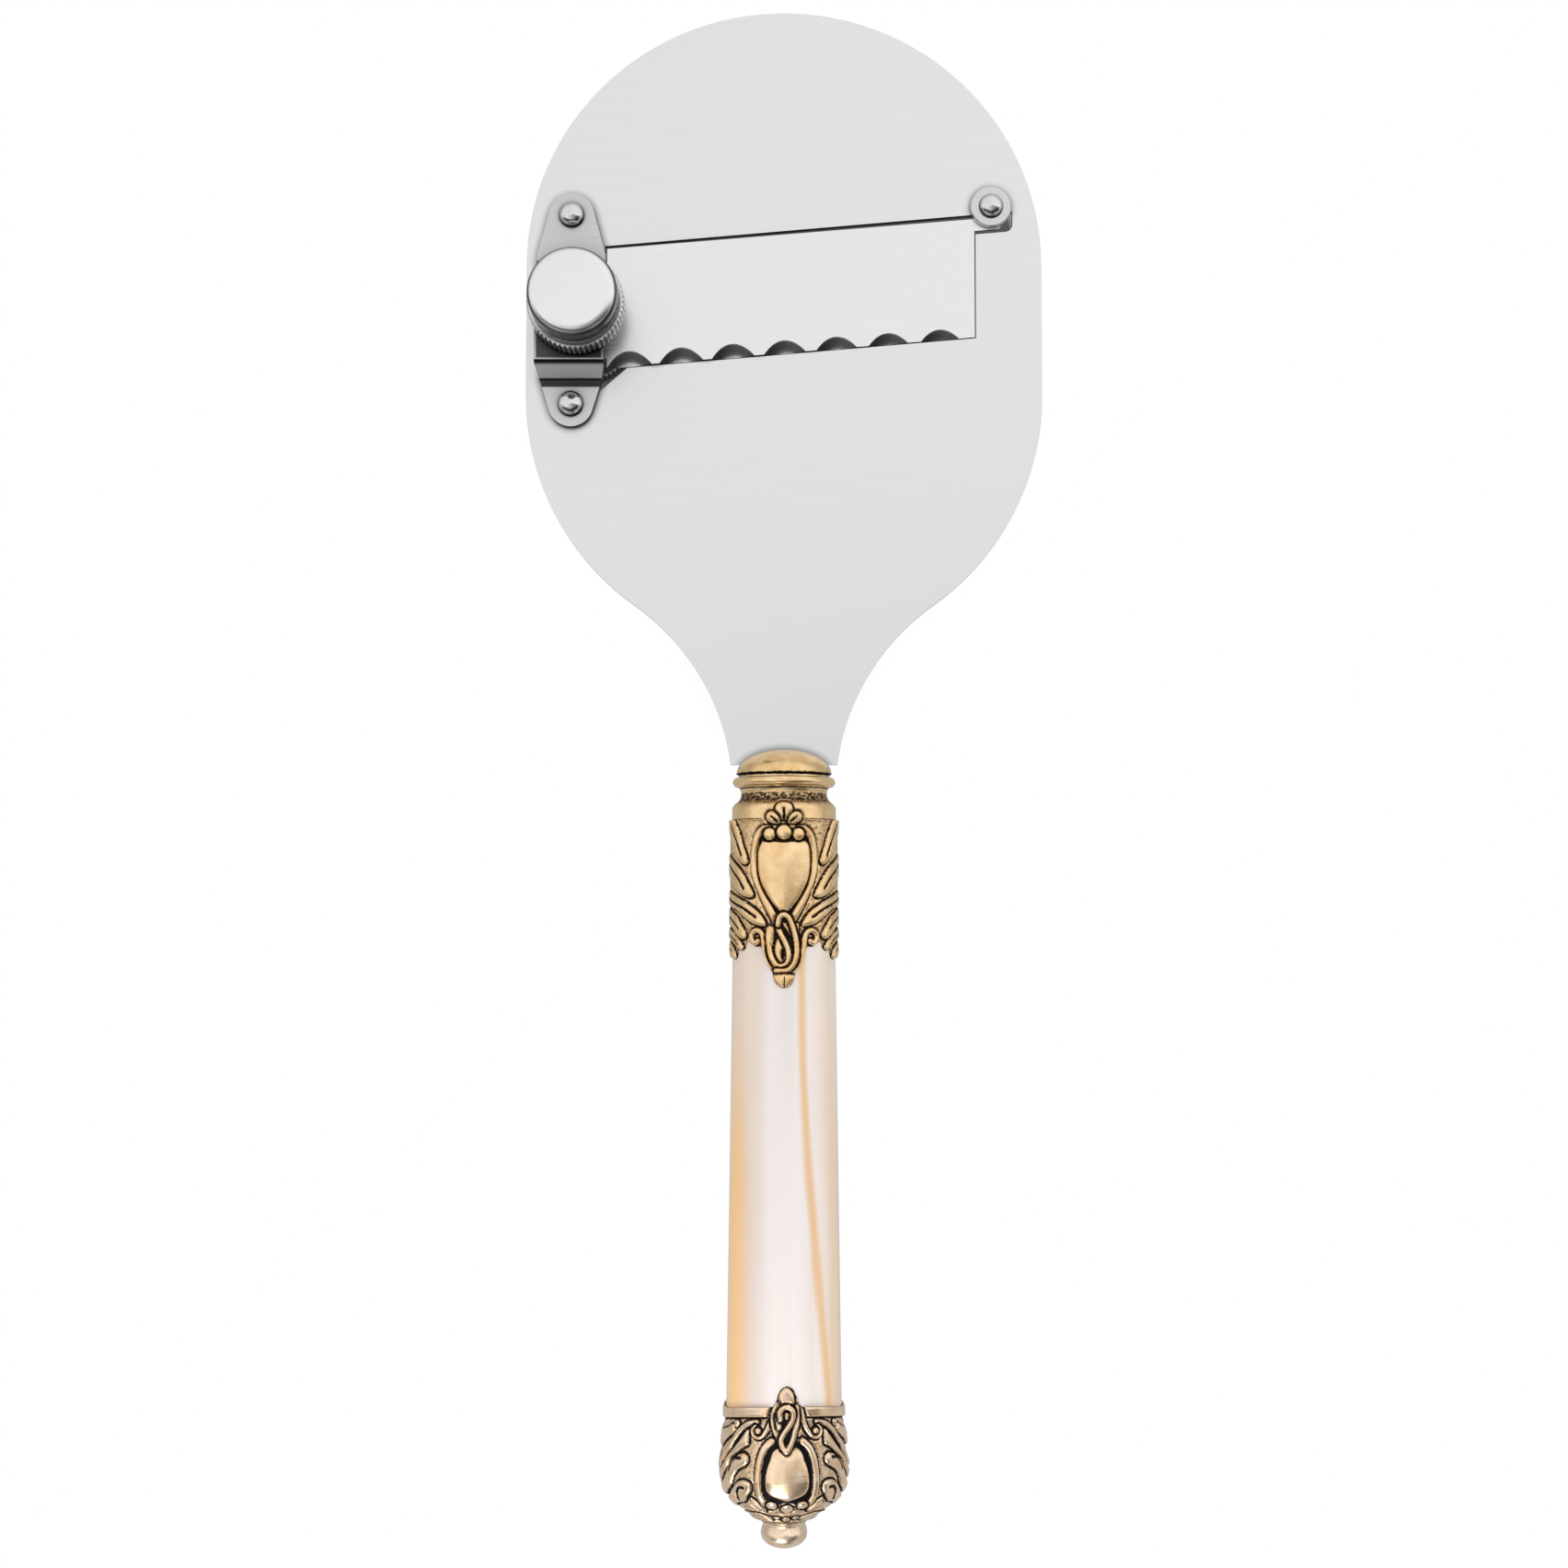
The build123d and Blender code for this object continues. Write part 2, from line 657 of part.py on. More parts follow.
# Ornament of the ferrule, as shares of its radius across and of its length down
hem_shares = ((0.0, 1.0), (0.10, 0.985), (0.15, 0.945), (0.13, 0.905), (0.31, 0.86), (0.42, 0.78),
              (0.55, 0.76), (0.68, 0.775), (0.73, 0.735), (0.79, 0.79), (0.88, 0.825), (1.2, 0.83))
shield_shares = ((0.40, 0.155), (0.50, 0.24), (0.42, 0.36), (0.25, 0.475), (0.0, 0.555))
frame_outer_shares = ((0.30, 0.045), (0.56, 0.10), (0.645, 0.24), (0.57, 0.38), (0.36, 0.54), (0.17, 0.63))
frame_inner_shares = ((0.33, 0.12), (0.47, 0.14), (0.545, 0.25), (0.47, 0.38), (0.26, 0.53), (0.08, 0.62))


def shared_points(shares, across, top, down):
    return [(x * across, top - y * down) for x, y in shares]


def ferrule_points(shares):
    return shared_points(shares, ferrule_r, flare_end_y, ferrule_length)


def mirrored_face(right):
    """A closed outline from the points of its right half, listed from the top to the bottom."""
    left = [(-x, y) for x, y in reversed(right) if x]
    top = Line(left[-1], right[0])
    edges = [top, Spline(*right)]
    if right[-1][0]:
        edges.append(Line(right[-1], left[0]))
        edges.append(Spline(*left))
    else:
        edges.append(Spline(right[-1], *left))
    return make_face(Wire(edges))


def strap_faces(outer, inner):
    """The two mirrored straps of a frame, from the points of its right-hand edges."""
    right = make_face(Wire([Spline(*outer), Line(outer[-1], inner[-1]), Spline(*inner),
                            Line(inner[0], outer[0])]))
    return [right, mirror(right, Plane.YZ)]


def raise_relief(blank, grown, faces):
    """Raise outlines on the front and back of a turned piece up to its grown twin."""
    for face in faces:
        blank += grown & slab(face, -overrun, overrun)
    return blank


def upper_ferrule():
    """A cast sleeve with a lobed hem, and a raised shield in a frame on its front and back."""
    bottom_y = flare_end_y - ferrule_length
    body = tube_y(ferrule_r, 0, flare_end_y, bottom_y)
    grown = tube_y(ferrule_r + ferrule_relief, 0, flare_end_y, bottom_y)
    faces = [mirrored_face(ferrule_points(shield_shares))]
    faces += strap_faces(ferrule_points(frame_outer_shares), ferrule_points(frame_inner_shares))
    body = raise_relief(body, grown, faces)
    hem = ferrule_points(hem_shares)
    below = [(hem[-1][0], bottom_y - ferrule_length), (-hem[-1][0], bottom_y - ferrule_length)]
    left = [(-x, y) for x, y in reversed(hem) if x]
    body -= slab(outline(hem + below + left), -overrun, overrun)
    body -= tube_y(ferrule_inner_r, 0, flare_end_y, grip_shoulder_y)
    taper = outline([(0, grip_shoulder_y), (grip_top_r + slip_gap, grip_shoulder_y),
                     (grip_radius(bottom_y) + slip_gap, bottom_y), (0, bottom_y)])
    return body - revolve(taper, Axis.Y)


def grip_seal(outer, inner, top):
    return tube_y(outer, inner, top, top - seal_t)


def handle_grip():
    """A tapered moulded grip with a spigot at each end and a stepped bore."""
    body = revolve(outline([(0, grip_top_y), (grip_spigot_r, grip_top_y), (grip_spigot_r, grip_shoulder_y),
                            (grip_top_r, grip_shoulder_y), (grip_bottom_r, grip_foot_y),
                            (grip_foot_r, grip_foot_y), (grip_foot_r, grip_end_y), (0, grip_end_y)]),
                   Axis.Y)
    body -= tube_y(collar_bore_r, 0, grip_top_y, coupler_end_y - seal_t)
    return body - tube_y(grip_bore_r, 0, coupler_end_y, grip_end_y)


def tang_coupler():
    """A slotted steel plug: the tang is pinned in one end, the tie rod screws into the other."""
    half = half_t + slip_gap
    body = tube_y(coupler_r, 0, coupler_top_y, coupler_end_y)
    slot_half = tang_half_w + slip_gap
    slot_end = -tang_length - slip_gap
    body -= slab(outline([(-slot_half, slot_end), (slot_half, slot_end), (slot_half, 0),
                          (-slot_half, 0)]), -half, half)
    body -= disc(0, pin_y, pin_r + slip_gap, -overrun, overrun)
    return body - tube_y(rod_r + slip_gap, 0, coupler_end_y + coupler_socket, coupler_end_y)


def tang_pin():
    half = math.sqrt(coupler_r ** 2 - pin_r ** 2) - slip_gap
    return disc(0, pin_y, pin_r, -half, half)


def tie_rod():
    chamfer_size = rod_r / 4
    top = coupler_end_y + coupler_socket - slip_gap
    return revolve(outline([(0, top), (rod_r - chamfer_size, top), (rod_r, top - chamfer_size),
                            (rod_r, rod_end_y + chamfer_size), (rod_r - chamfer_size, rod_end_y),
                            (0, rod_end_y)]), Axis.Y)


# Ornament of the pommel, as shares of its belly radius across and of its height down
pommel_shield_shares = ((0.30, 0.36), (0.42, 0.46), (0.40, 0.60), (0.22, 0.70), (0.0, 0.72))
pommel_frame_outer_shares = ((0.24, 0.22), (0.44, 0.38), (0.53, 0.55), (0.45, 0.70), (0.28, 0.78))
pommel_frame_inner_shares = ((0.20, 0.30), (0.35, 0.40), (0.44, 0.55), (0.37, 0.68), (0.25, 0.73))
leaf_shares = ((0.09, -0.27), (0.16, -0.23), (0.17, -0.10), (0.24, 0.08), (0.22, 0.22), (0.0, 0.36))


def pommel_blank(grow):
    """The outer form of the pommel: a plain rim over a bellied bowl."""
    rim_end = pommel_rim_y - pommel_rim_h
    rim = pommel_rim_r + grow
    throat = pommel_throat_r + grow
    lines = [
        Line((0, pommel_rim_y), (rim, pommel_rim_y)),
        Line((rim, pommel_rim_y), (rim, rim_end)),
        Line((rim, rim_end), (throat, rim_end)),
        Spline((throat, rim_end), (pommel_belly_r + grow, pommel_belly_y),
               (pommel_bowl_r + grow, pommel_bowl_y), (pommel_foot_r, pommel_foot_y)),
        Line((pommel_foot_r, pommel_foot_y), (0, pommel_foot_y)),
        Line((0, pommel_foot_y), (0, pommel_rim_y)),
    ]
    return turned_about_y(lines)


def pommel_leaf():
    """The leaf that rises from the pommel's front and back and lies on the grip."""
    height = pommel_rim_y - pommel_foot_y
    leaf = mirrored_face(shared_points(leaf_shares, pommel_belly_r, pommel_rim_y, height))
    top = pommel_rim_y - leaf_shares[0][1] * height
    shell = tube_y(pommel_rim_r + pommel_relief, 0, top, pommel_rim_y - height / 5)
    return shell & slab(leaf, -overrun, overrun)


def pommel_cap():
    height = pommel_rim_y - pommel_foot_y
    points = [shared_points(shares, pommel_belly_r, pommel_rim_y, height)
              for shares in (pommel_shield_shares, pommel_frame_outer_shares, pommel_frame_inner_shares)]
    faces = [mirrored_face(points[0])] + strap_faces(points[1], points[2])
    body = raise_relief(pommel_blank(0), pommel_blank(pommel_relief), faces) + pommel_leaf()
    top = pommel_rim_y + height
    body -= revolve(outline([(0, top), (grip_radius(top) + slip_gap, top),
                             (grip_bottom_r + slip_gap, pommel_rim_y), (0, pommel_rim_y)]), Axis.Y)
    body -= tube_y(grip_foot_r + slip_gap, 0, pommel_rim_y, pommel_floor_y)
    body -= tube_y(rod_r + slip_gap, 0, pommel_floor_y, pommel_foot_y)
    recess_r = nut_across_flats / math.sqrt(3) + slip_gap
    return body - tube_y(recess_r, 0, nut_seat_y, pommel_foot_y)


def pommel_nut():
    hexagon = RegularPolygon(nut_across_flats / 2, 6, major_radius=False)
    body = Pos(0, nut_seat_y - slip_gap) * Rot(90, 0, 0) * extrude(hexagon, nut_t - slip_gap)
    return body - tube_y(rod_r + slip_gap, 0, nut_seat_y, pommel_foot_y)


def pommel_finial():
    """A waisted button screwed onto the end of the tie rod."""
    top = pommel_foot_y - slip_gap
    collar = pommel_foot_r - slip_gap
    lines = [
        Line((0, top), (collar, top)),
        ThreePointArc((collar, top), ((collar + 2 * finial_waist_r) / 3, (2 * top + finial_waist_y) / 3),
                      (finial_waist_r, finial_waist_y)),
        Spline((finial_waist_r, finial_waist_y), (finial_r, finial_button_y), (0, finial_end_y)),
        Line((0, finial_end_y), (0, top)),
    ]
    return turned_about_y(lines) - tube_y(rod_r + slip_gap, 0, top, rod_end_y - slip_gap)


pieces = {
    "slicer_plate": slicer_plate(),
    "bridge_bracket": bridge_bracket(),
    "bracket_rivets": bracket_rivets(),
    "blade_rivet": blade_rivet(),
    "rivet_washer": rivet_washer(),
    "ferrule_dome": ferrule_dome(),
    "ferrule_collar": ferrule_collar(),
    "upper_ferrule": upper_ferrule(),
    "upper_seal": grip_seal(grip_spigot_r, collar_bore_r, flare_end_y - slip_gap / 2),
    "handle_grip": handle_grip(),
    "lower_seal": grip_seal(grip_foot_r, grip_bore_r, grip_end_y - slip_gap / 2),
    "tang_coupler": tang_coupler(),
    "tang_pin": tang_pin(),
    "tie_rod": tie_rod(),
    "pommel_nut": pommel_nut(),
    "pommel_cap": pommel_cap(),
    "pommel_finial": pommel_finial(),
    "knob_cap": knob_cap(),
    "knob_wheel": knob_wheel(),
    "knob_spindle": knob_spindle(),
    "spindle_clip": spindle_clip(),
    "knob_washer": knob_washer(),
    "blade": blade(),
    "blade_bush": blade_bush(),
    "lock_wheel": lock_wheel(),
}

middle_y = (paddle_length - handle_length) / 2
os.makedirs("parts", exist_ok=True)
for node, piece in pieces.items():
    export_step(Pos(0, -middle_y, rest_height) * piece, f"parts/{node}.step")
    print(node, "volume", round(piece.volume, 1))
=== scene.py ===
# %% [markdown]
# A truffle slicer lies face up: a brushed steel paddle with a scalloped blade, and a
# pearl handle between two cast, antiqued brass ends. The working shapes are already
# modelled to size. This lesson gives them their finishes, and models the cast relief of
# the two brass ends. The first step loads the sized model, and reads the box round any
# of its parts.

# %% Load the sized model
import math

import bmesh
import bpy
import numpy as np
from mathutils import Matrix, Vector


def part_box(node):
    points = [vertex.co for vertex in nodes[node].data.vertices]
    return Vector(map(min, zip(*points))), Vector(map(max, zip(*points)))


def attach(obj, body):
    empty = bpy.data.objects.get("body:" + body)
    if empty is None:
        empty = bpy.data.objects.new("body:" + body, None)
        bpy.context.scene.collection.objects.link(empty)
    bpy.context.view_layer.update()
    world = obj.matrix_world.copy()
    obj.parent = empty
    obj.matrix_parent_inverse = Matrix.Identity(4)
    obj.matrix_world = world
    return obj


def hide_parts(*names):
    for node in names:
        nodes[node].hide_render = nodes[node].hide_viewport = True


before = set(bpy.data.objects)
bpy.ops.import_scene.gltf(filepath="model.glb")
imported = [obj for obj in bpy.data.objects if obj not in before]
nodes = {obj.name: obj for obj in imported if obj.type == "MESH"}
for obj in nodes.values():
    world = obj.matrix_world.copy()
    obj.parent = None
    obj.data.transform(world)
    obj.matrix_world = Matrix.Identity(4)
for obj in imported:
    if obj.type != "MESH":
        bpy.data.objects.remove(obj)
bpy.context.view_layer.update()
MM = 0.001

# %% [markdown]
# The picture was taken from straight above and a little toward the handle, with an
# ordinary lens at arm's length. A camera is placed by where it stands, what it looks at
# and its focal length. Places are counted from the middle plane of the steel sheet, which
# is also the axis of the handle.


# %% Camera
def in_scene(name, data):
    """An object that holds the data, put into the scene."""
    item = bpy.data.objects.new(name, data)
    bpy.context.scene.collection.objects.link(item)
    return item


axis_z = sum(c.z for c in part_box("handle_grip")) / 2
eye = Vector((0, -25.33 * MM, 360 * MM + axis_z))
aim = Vector((0, -3.127 * MM, axis_z))
camera_data = bpy.data.cameras.new("camera")
camera_data.lens = 50.80
camera_data.sensor_width = 36
camera = in_scene("camera", camera_data)
camera.location = eye
camera.rotation_euler = (aim - eye).to_track_quat("-Z", "Y").to_euler()
bpy.context.scene.camera = camera
print("camera stands", round((eye.z - axis_z) / MM), "mm over the handle's axis")

# %% [markdown]
# Every finish is a small network of shader nodes. A few helpers keep them short. One turns
# a colour as a painter reads it, an sRGB hex value, into the linear numbers that Blender
# works in. The others add a node with its settings and links, and give back its result.


# %% Colour and node helpers
def colour(hex_value):
    """An sRGB hex colour as linear red, green, blue and alpha."""
    parts = [int(hex_value[i:i + 2], 16) / 255 for i in (1, 3, 5)]
    return [p / 12.92 if p <= 0.04045 else ((p + 0.055) / 1.055) ** 2.4 for p in parts] + [1.0]


def add(tree, kind, settings=None, **sockets):
    """Add a node. A socket takes a number, a colour or another node's output."""
    node = tree.nodes.new(kind)
    for name, value in (settings or {}).items():
        setattr(node, name, value)
    for name, value in sockets.items():
        key = int(name[1:]) if name[0] == "i" and name[1:].isdigit() else name.replace("_", " ")
        if isinstance(value, bpy.types.NodeSocket):
            tree.links.new(value, node.inputs[key])
        else:
            node.inputs[key].default_value = value
    return node


def calc(tree, operation, *values):
    """The result of one step of arithmetic."""
    sockets = {f"i{place}": value for place, value in enumerate(values)}
    return add(tree, "ShaderNodeMath", {"operation": operation}, **sockets).outputs[0]


def remap(tree, value, low, high, to_low=0.0, to_high=1.0, kind="LINEAR"):
    """A value taken from one range to another, and kept inside it."""
    return add(tree, "ShaderNodeMapRange", {"interpolation_type": kind}, Value=value, From_Min=low,
               From_Max=high, To_Min=to_low, To_Max=to_high).outputs[0]


def blend(tree, share, under, over, kind="MIX"):
    """Two colours laid over each other by a share."""
    return add(tree, "ShaderNodeMix", {"data_type": "RGBA", "blend_type": kind}, i0=share, i6=under,
               i7=over).outputs["Result"]


def ramp(tree, value, stops):
    """A colour ramp over a value, from pairs of place and hex colour."""
    node = add(tree, "ShaderNodeValToRGB", Fac=value)
    elements = node.color_ramp.elements
    while len(elements) < len(stops):
        elements.new(1)
    for element, (place, hex_value) in zip(elements, stops):
        element.position = place
        element.color = colour(hex_value)
    return node.outputs["Color"]


def split(tree, vector):
    """The X, Y and Z of a vector."""
    return add(tree, "ShaderNodeSeparateXYZ", Vector=vector).outputs


def object_place(tree):
    """Where a point lies, in its object's own coordinates."""
    return add(tree, "ShaderNodeTexCoord").outputs["Object"]


def surface_slope(tree):
    """The direction that a face looks in, as its X, Y and Z."""
    return split(tree, add(tree, "ShaderNodeNewGeometry").outputs["True Normal"])


def stretched(tree, vector, scale):
    """Coordinates scaled along each axis."""
    return add(tree, "ShaderNodeMapping", Vector=vector, Scale=scale).outputs[0]


def noise(tree, vector, scale, detail, roughness=0.5):
    """A soft random pattern, from 0 to 1."""
    return add(tree, "ShaderNodeTexNoise", Vector=vector, Scale=scale, Detail=detail,
               Roughness=roughness).outputs[0]


def bumped(tree, height, strength, depth):
    """Normals tilted by a pattern, as if it stood up from the surface."""
    return add(tree, "ShaderNodeBump", Height=height, Strength=strength, Distance=depth).outputs[0]


def blank_material(name):
    """A material with an empty network."""
    material = bpy.data.materials.new(name)
    material.use_nodes = True
    material.node_tree.nodes.clear()
    return material, material.node_tree


def painted(tree, tone, **sockets):
    """Close a network with its surface shader."""
    shader = add(tree, "ShaderNodeBsdfPrincipled", Base_Color=tone, **sockets)
    add(tree, "ShaderNodeOutputMaterial", Surface=shader.outputs[0])


WHITE = colour("#ffffff")
print("middle grey is", [round(c, 3) for c in colour("#808080")])

# %% [markdown]
# The object lies on a plain white ground that throws no visible shadow, yet its slits are
# dark. A lit white floor would shine through every slit. Here the floor glows white for
# the camera and for reflections. Two Ambient Occlusion nodes darken it only where it is
# nearly covered: one looks far and finds the contact shadow, the other looks no further
# than the sheet above it and finds the shadow behind the slits, inside a rounded field
# under the window. In reflections the floor is half as bright, because a real one is lit
# from the side.

# %% White ground with a contact shadow
ground_half = 2000 * MM
far_reach, near_reach = 60 * MM, 12 * MM
window_middle_y, window_half_w, window_half_h = 79.5 * MM, 40.2 * MM, 27 * MM
field_edge, field_full = 1.22, 0.88

corners = [(x * ground_half, y * ground_half, 0) for x, y in ((-1, -1), (1, -1), (1, 1), (-1, 1))]
mesh = bpy.data.meshes.new("ground")
mesh.from_pydata(corners, [], [(0, 1, 2, 3)])
ground = in_scene("ground", mesh)

paper, tree = blank_material("matt white paper")
far_cover = add(tree, "ShaderNodeAmbientOcclusion", {"samples": 16}, Distance=far_reach)
far_shadow = ramp(tree, far_cover.outputs["AO"], [(0.0, "#4a4a4a"), (0.26, "#5a5a5a"), (0.40, "#ffffff")])
near_cover = add(tree, "ShaderNodeAmbientOcclusion", {"samples": 32}, Distance=near_reach)
near_shadow = ramp(tree, near_cover.outputs["AO"], [(0.86, "#565656"), (0.99, "#ffffff")])
place = split(tree, object_place(tree))
across = calc(tree, "DIVIDE", place["X"], window_half_w)
along = calc(tree, "DIVIDE", calc(tree, "SUBTRACT", place["Y"], window_middle_y), window_half_h)
away = calc(tree, "ADD", calc(tree, "POWER", across, 4), calc(tree, "POWER", along, 4))
near_shadow = blend(tree, remap(tree, away, field_edge, field_full), WHITE, near_shadow)
shadow = blend(tree, 1.0, far_shadow, near_shadow, "DARKEN")
ray = add(tree, "ShaderNodeLightPath").outputs
dimmed = remap(tree, ray["Is Glossy Ray"], 0.0, 1.0, 1.0, 0.5)
glow = add(tree, "ShaderNodeEmission", Color=shadow, Strength=dimmed)
matt = add(tree, "ShaderNodeBsdfDiffuse", Color=colour("#f4f4f4"))
seen = calc(tree, "MAXIMUM", ray["Is Camera Ray"], ray["Is Glossy Ray"])
seen = calc(tree, "MAXIMUM", seen, ray["Is Transmission Ray"])
mixed = add(tree, "ShaderNodeMixShader", i0=seen, i1=matt.outputs[0], i2=glow.outputs[0])
add(tree, "ShaderNodeOutputMaterial", Surface=mixed.outputs[0])
mesh.materials.append(paper)
print("ground", round(2 * ground_half, 1), "m across")

# %% [markdown]
# Bare metal shows its surroundings more than its own colour. The surroundings here are a
# white tent over the paddle. Over the handle it is dimmer, with bright strips at both
# sides, so that the round brass gets its highlights. Toward the handle's end it is dark,
# and steel that bends that way shows a dark line, as in a studio. Everything is worked
# out from the direction in which the world is seen: X to the right, Y to the tip.

# %% Tent with strips and a dark end
world = bpy.data.worlds.new("white tent")
bpy.context.scene.world = world
world.use_nodes = True
tree = world.node_tree
tree.nodes.clear()


def window(value, low, high, soft):
    """1 between two values and 0 outside, with soft edges."""
    rise = remap(tree, value, low - soft, low + soft, kind="SMOOTHSTEP")
    fall = remap(tree, value, high + soft, high - soft, kind="SMOOTHSTEP")
    return calc(tree, "MULTIPLY", rise, fall)


direction = split(tree, add(tree, "ShaderNodeTexCoord").outputs["Generated"])
to_right, to_tip, up = direction["X"], direction["Y"], direction["Z"]
over_handle = window(to_tip, -2, -0.07, 0.05)
wedge = calc(tree, "MULTIPLY_ADD", calc(tree, "ABSOLUTE", to_right), -0.45, to_tip)
dark_end = window(wedge, -3, -0.66, 0.06)
tent_parts = [
    ("low ring", -0.25, [window(up, -2, 0.22, 0.12)]),
    ("over the handle", -0.22, [over_handle]),
    ("left strip", 0.50, [over_handle, window(to_right, -0.70, -0.32, 0.06)]),
    ("right strip", 0.28, [over_handle, window(to_right, 0.46, 0.70, 0.06)]),
    ("right of the handle", -0.50, [window(to_tip, -2, 0.05, 0.03), window(to_right, 0.04, 0.44, 0.06)]),
    ("over the neck", 0.09, [window(to_tip, 0.04, 0.22, 0.06)]),
    ("right of the pommel", -0.85, [window(to_tip, -0.60, -0.08, 0.06), window(to_right, 0.42, 2, 0.08),
                                    window(up, 0.34, 2, 0.06)]),
    ("dark end", -0.30, [dark_end]),
    ("dark end, higher up", -0.85, [dark_end, window(up, 0.32, 2, 0.05)]),
]
bright = remap(tree, to_right, -0.2, 0.2, 0.97, 1.06)
for _, share, where in tent_parts:
    for each in where:
        share = calc(tree, "MULTIPLY", each, share)
    bright = calc(tree, "MULTIPLY", bright, calc(tree, "ADD", share, 1.0))

ray = add(tree, "ShaderNodeLightPath").outputs
shine = add(tree, "ShaderNodeBackground", Color=WHITE, Strength=bright)
soft = add(tree, "ShaderNodeBackground", Color=colour("#f0f0f0"), Strength=1.0)
white = add(tree, "ShaderNodeBackground", Color=WHITE, Strength=1.0)
lit = add(tree, "ShaderNodeMixShader", i0=ray["Is Glossy Ray"], i1=soft.outputs[0], i2=shine.outputs[0])
seen = add(tree, "ShaderNodeMixShader", i0=ray["Is Camera Ray"], i1=lit.outputs[0], i2=white.outputs[0])
add(tree, "ShaderNodeOutputWorld", Surface=seen.outputs[0])
bpy.context.scene.view_settings.view_transform = "Standard"
print("the tent has", len(tent_parts), "parts")

# %% [markdown]
# Two softboxes add direction. The large one stands high on the right and gives the shapes
# a lit side. It is kept out of reflections, so it leaves no square on the rivets. The
# small one lies low beyond the pommel, and fills the underside of its belly, which would
# otherwise show only the tent's dark end. Its narrow beam keeps it out of the knob's
# reflections.


# %% Two softboxes
def softbox(name, place, size, brightness, spread=180):
    """A square lamp that faces the object, as bright as its own surface looks."""
    lamp_data = bpy.data.lights.new(name, "AREA")
    lamp_data.size = size
    lamp_data.spread = math.radians(spread)
    lamp_data.energy = brightness * math.pi * size ** 2
    lamp = in_scene(name, lamp_data)
    lamp.location = place
    aim = Vector((0, place[1] * 0.6, axis_z))
    lamp.rotation_euler = (aim - lamp.location).to_track_quat("-Z", "Y").to_euler()
    return lamp


large = softbox("large softbox", Vector((420, 120, 420)) * MM, 260 * MM, 1.2)
large.visible_glossy = False
fill = softbox("pommel fill", Vector((-20, -190, 75)) * MM, 70 * MM, 0.5, spread=50)
print("softboxes of", [round(lamp.data.size / MM) for lamp in (large, fill)], "mm")

# %% [markdown]
# The paddle, bracket and blade are stainless sheet, finished with an abrasive belt that
# leaves fine scratches across the paddle. The scratches are a noise pattern stretched
# along X: they hardly change the colour, and they roughen the shine. Real scratches are
# about 0.05 mm wide, too fine to show, so they are drawn 0.25 mm wide. The slope of the
# surface darkens some faces. On the sheet these are its unpolished sheared edges, partly
# with painted shade in the slits. On the strip, the button and the rivets the darkening is
# painted reflection of the dark surroundings. Ambient Occlusion with a short reach paints
# shade into tight corners, on the level faces above all. A painted dark line runs along
# each bend of the strip and stands in for its reflection, and the strip's steep walls are
# made matt. The knob's shadow and reflection are painted on the strip's level top: dark
# inside a pale edge.

# %% Brushed stainless steel
scratch_width, scratch_length, scratch_relief = 0.25 * MM, 12 * MM, 0.004 * MM
steep, level = 0.6, 0.95
corner_full_at, corner_starts_at = 0.35, 0.92
line_blur = 0.12 * MM
pale_edge, knob_shade_edge = 0.25 * MM, 0.45 * MM


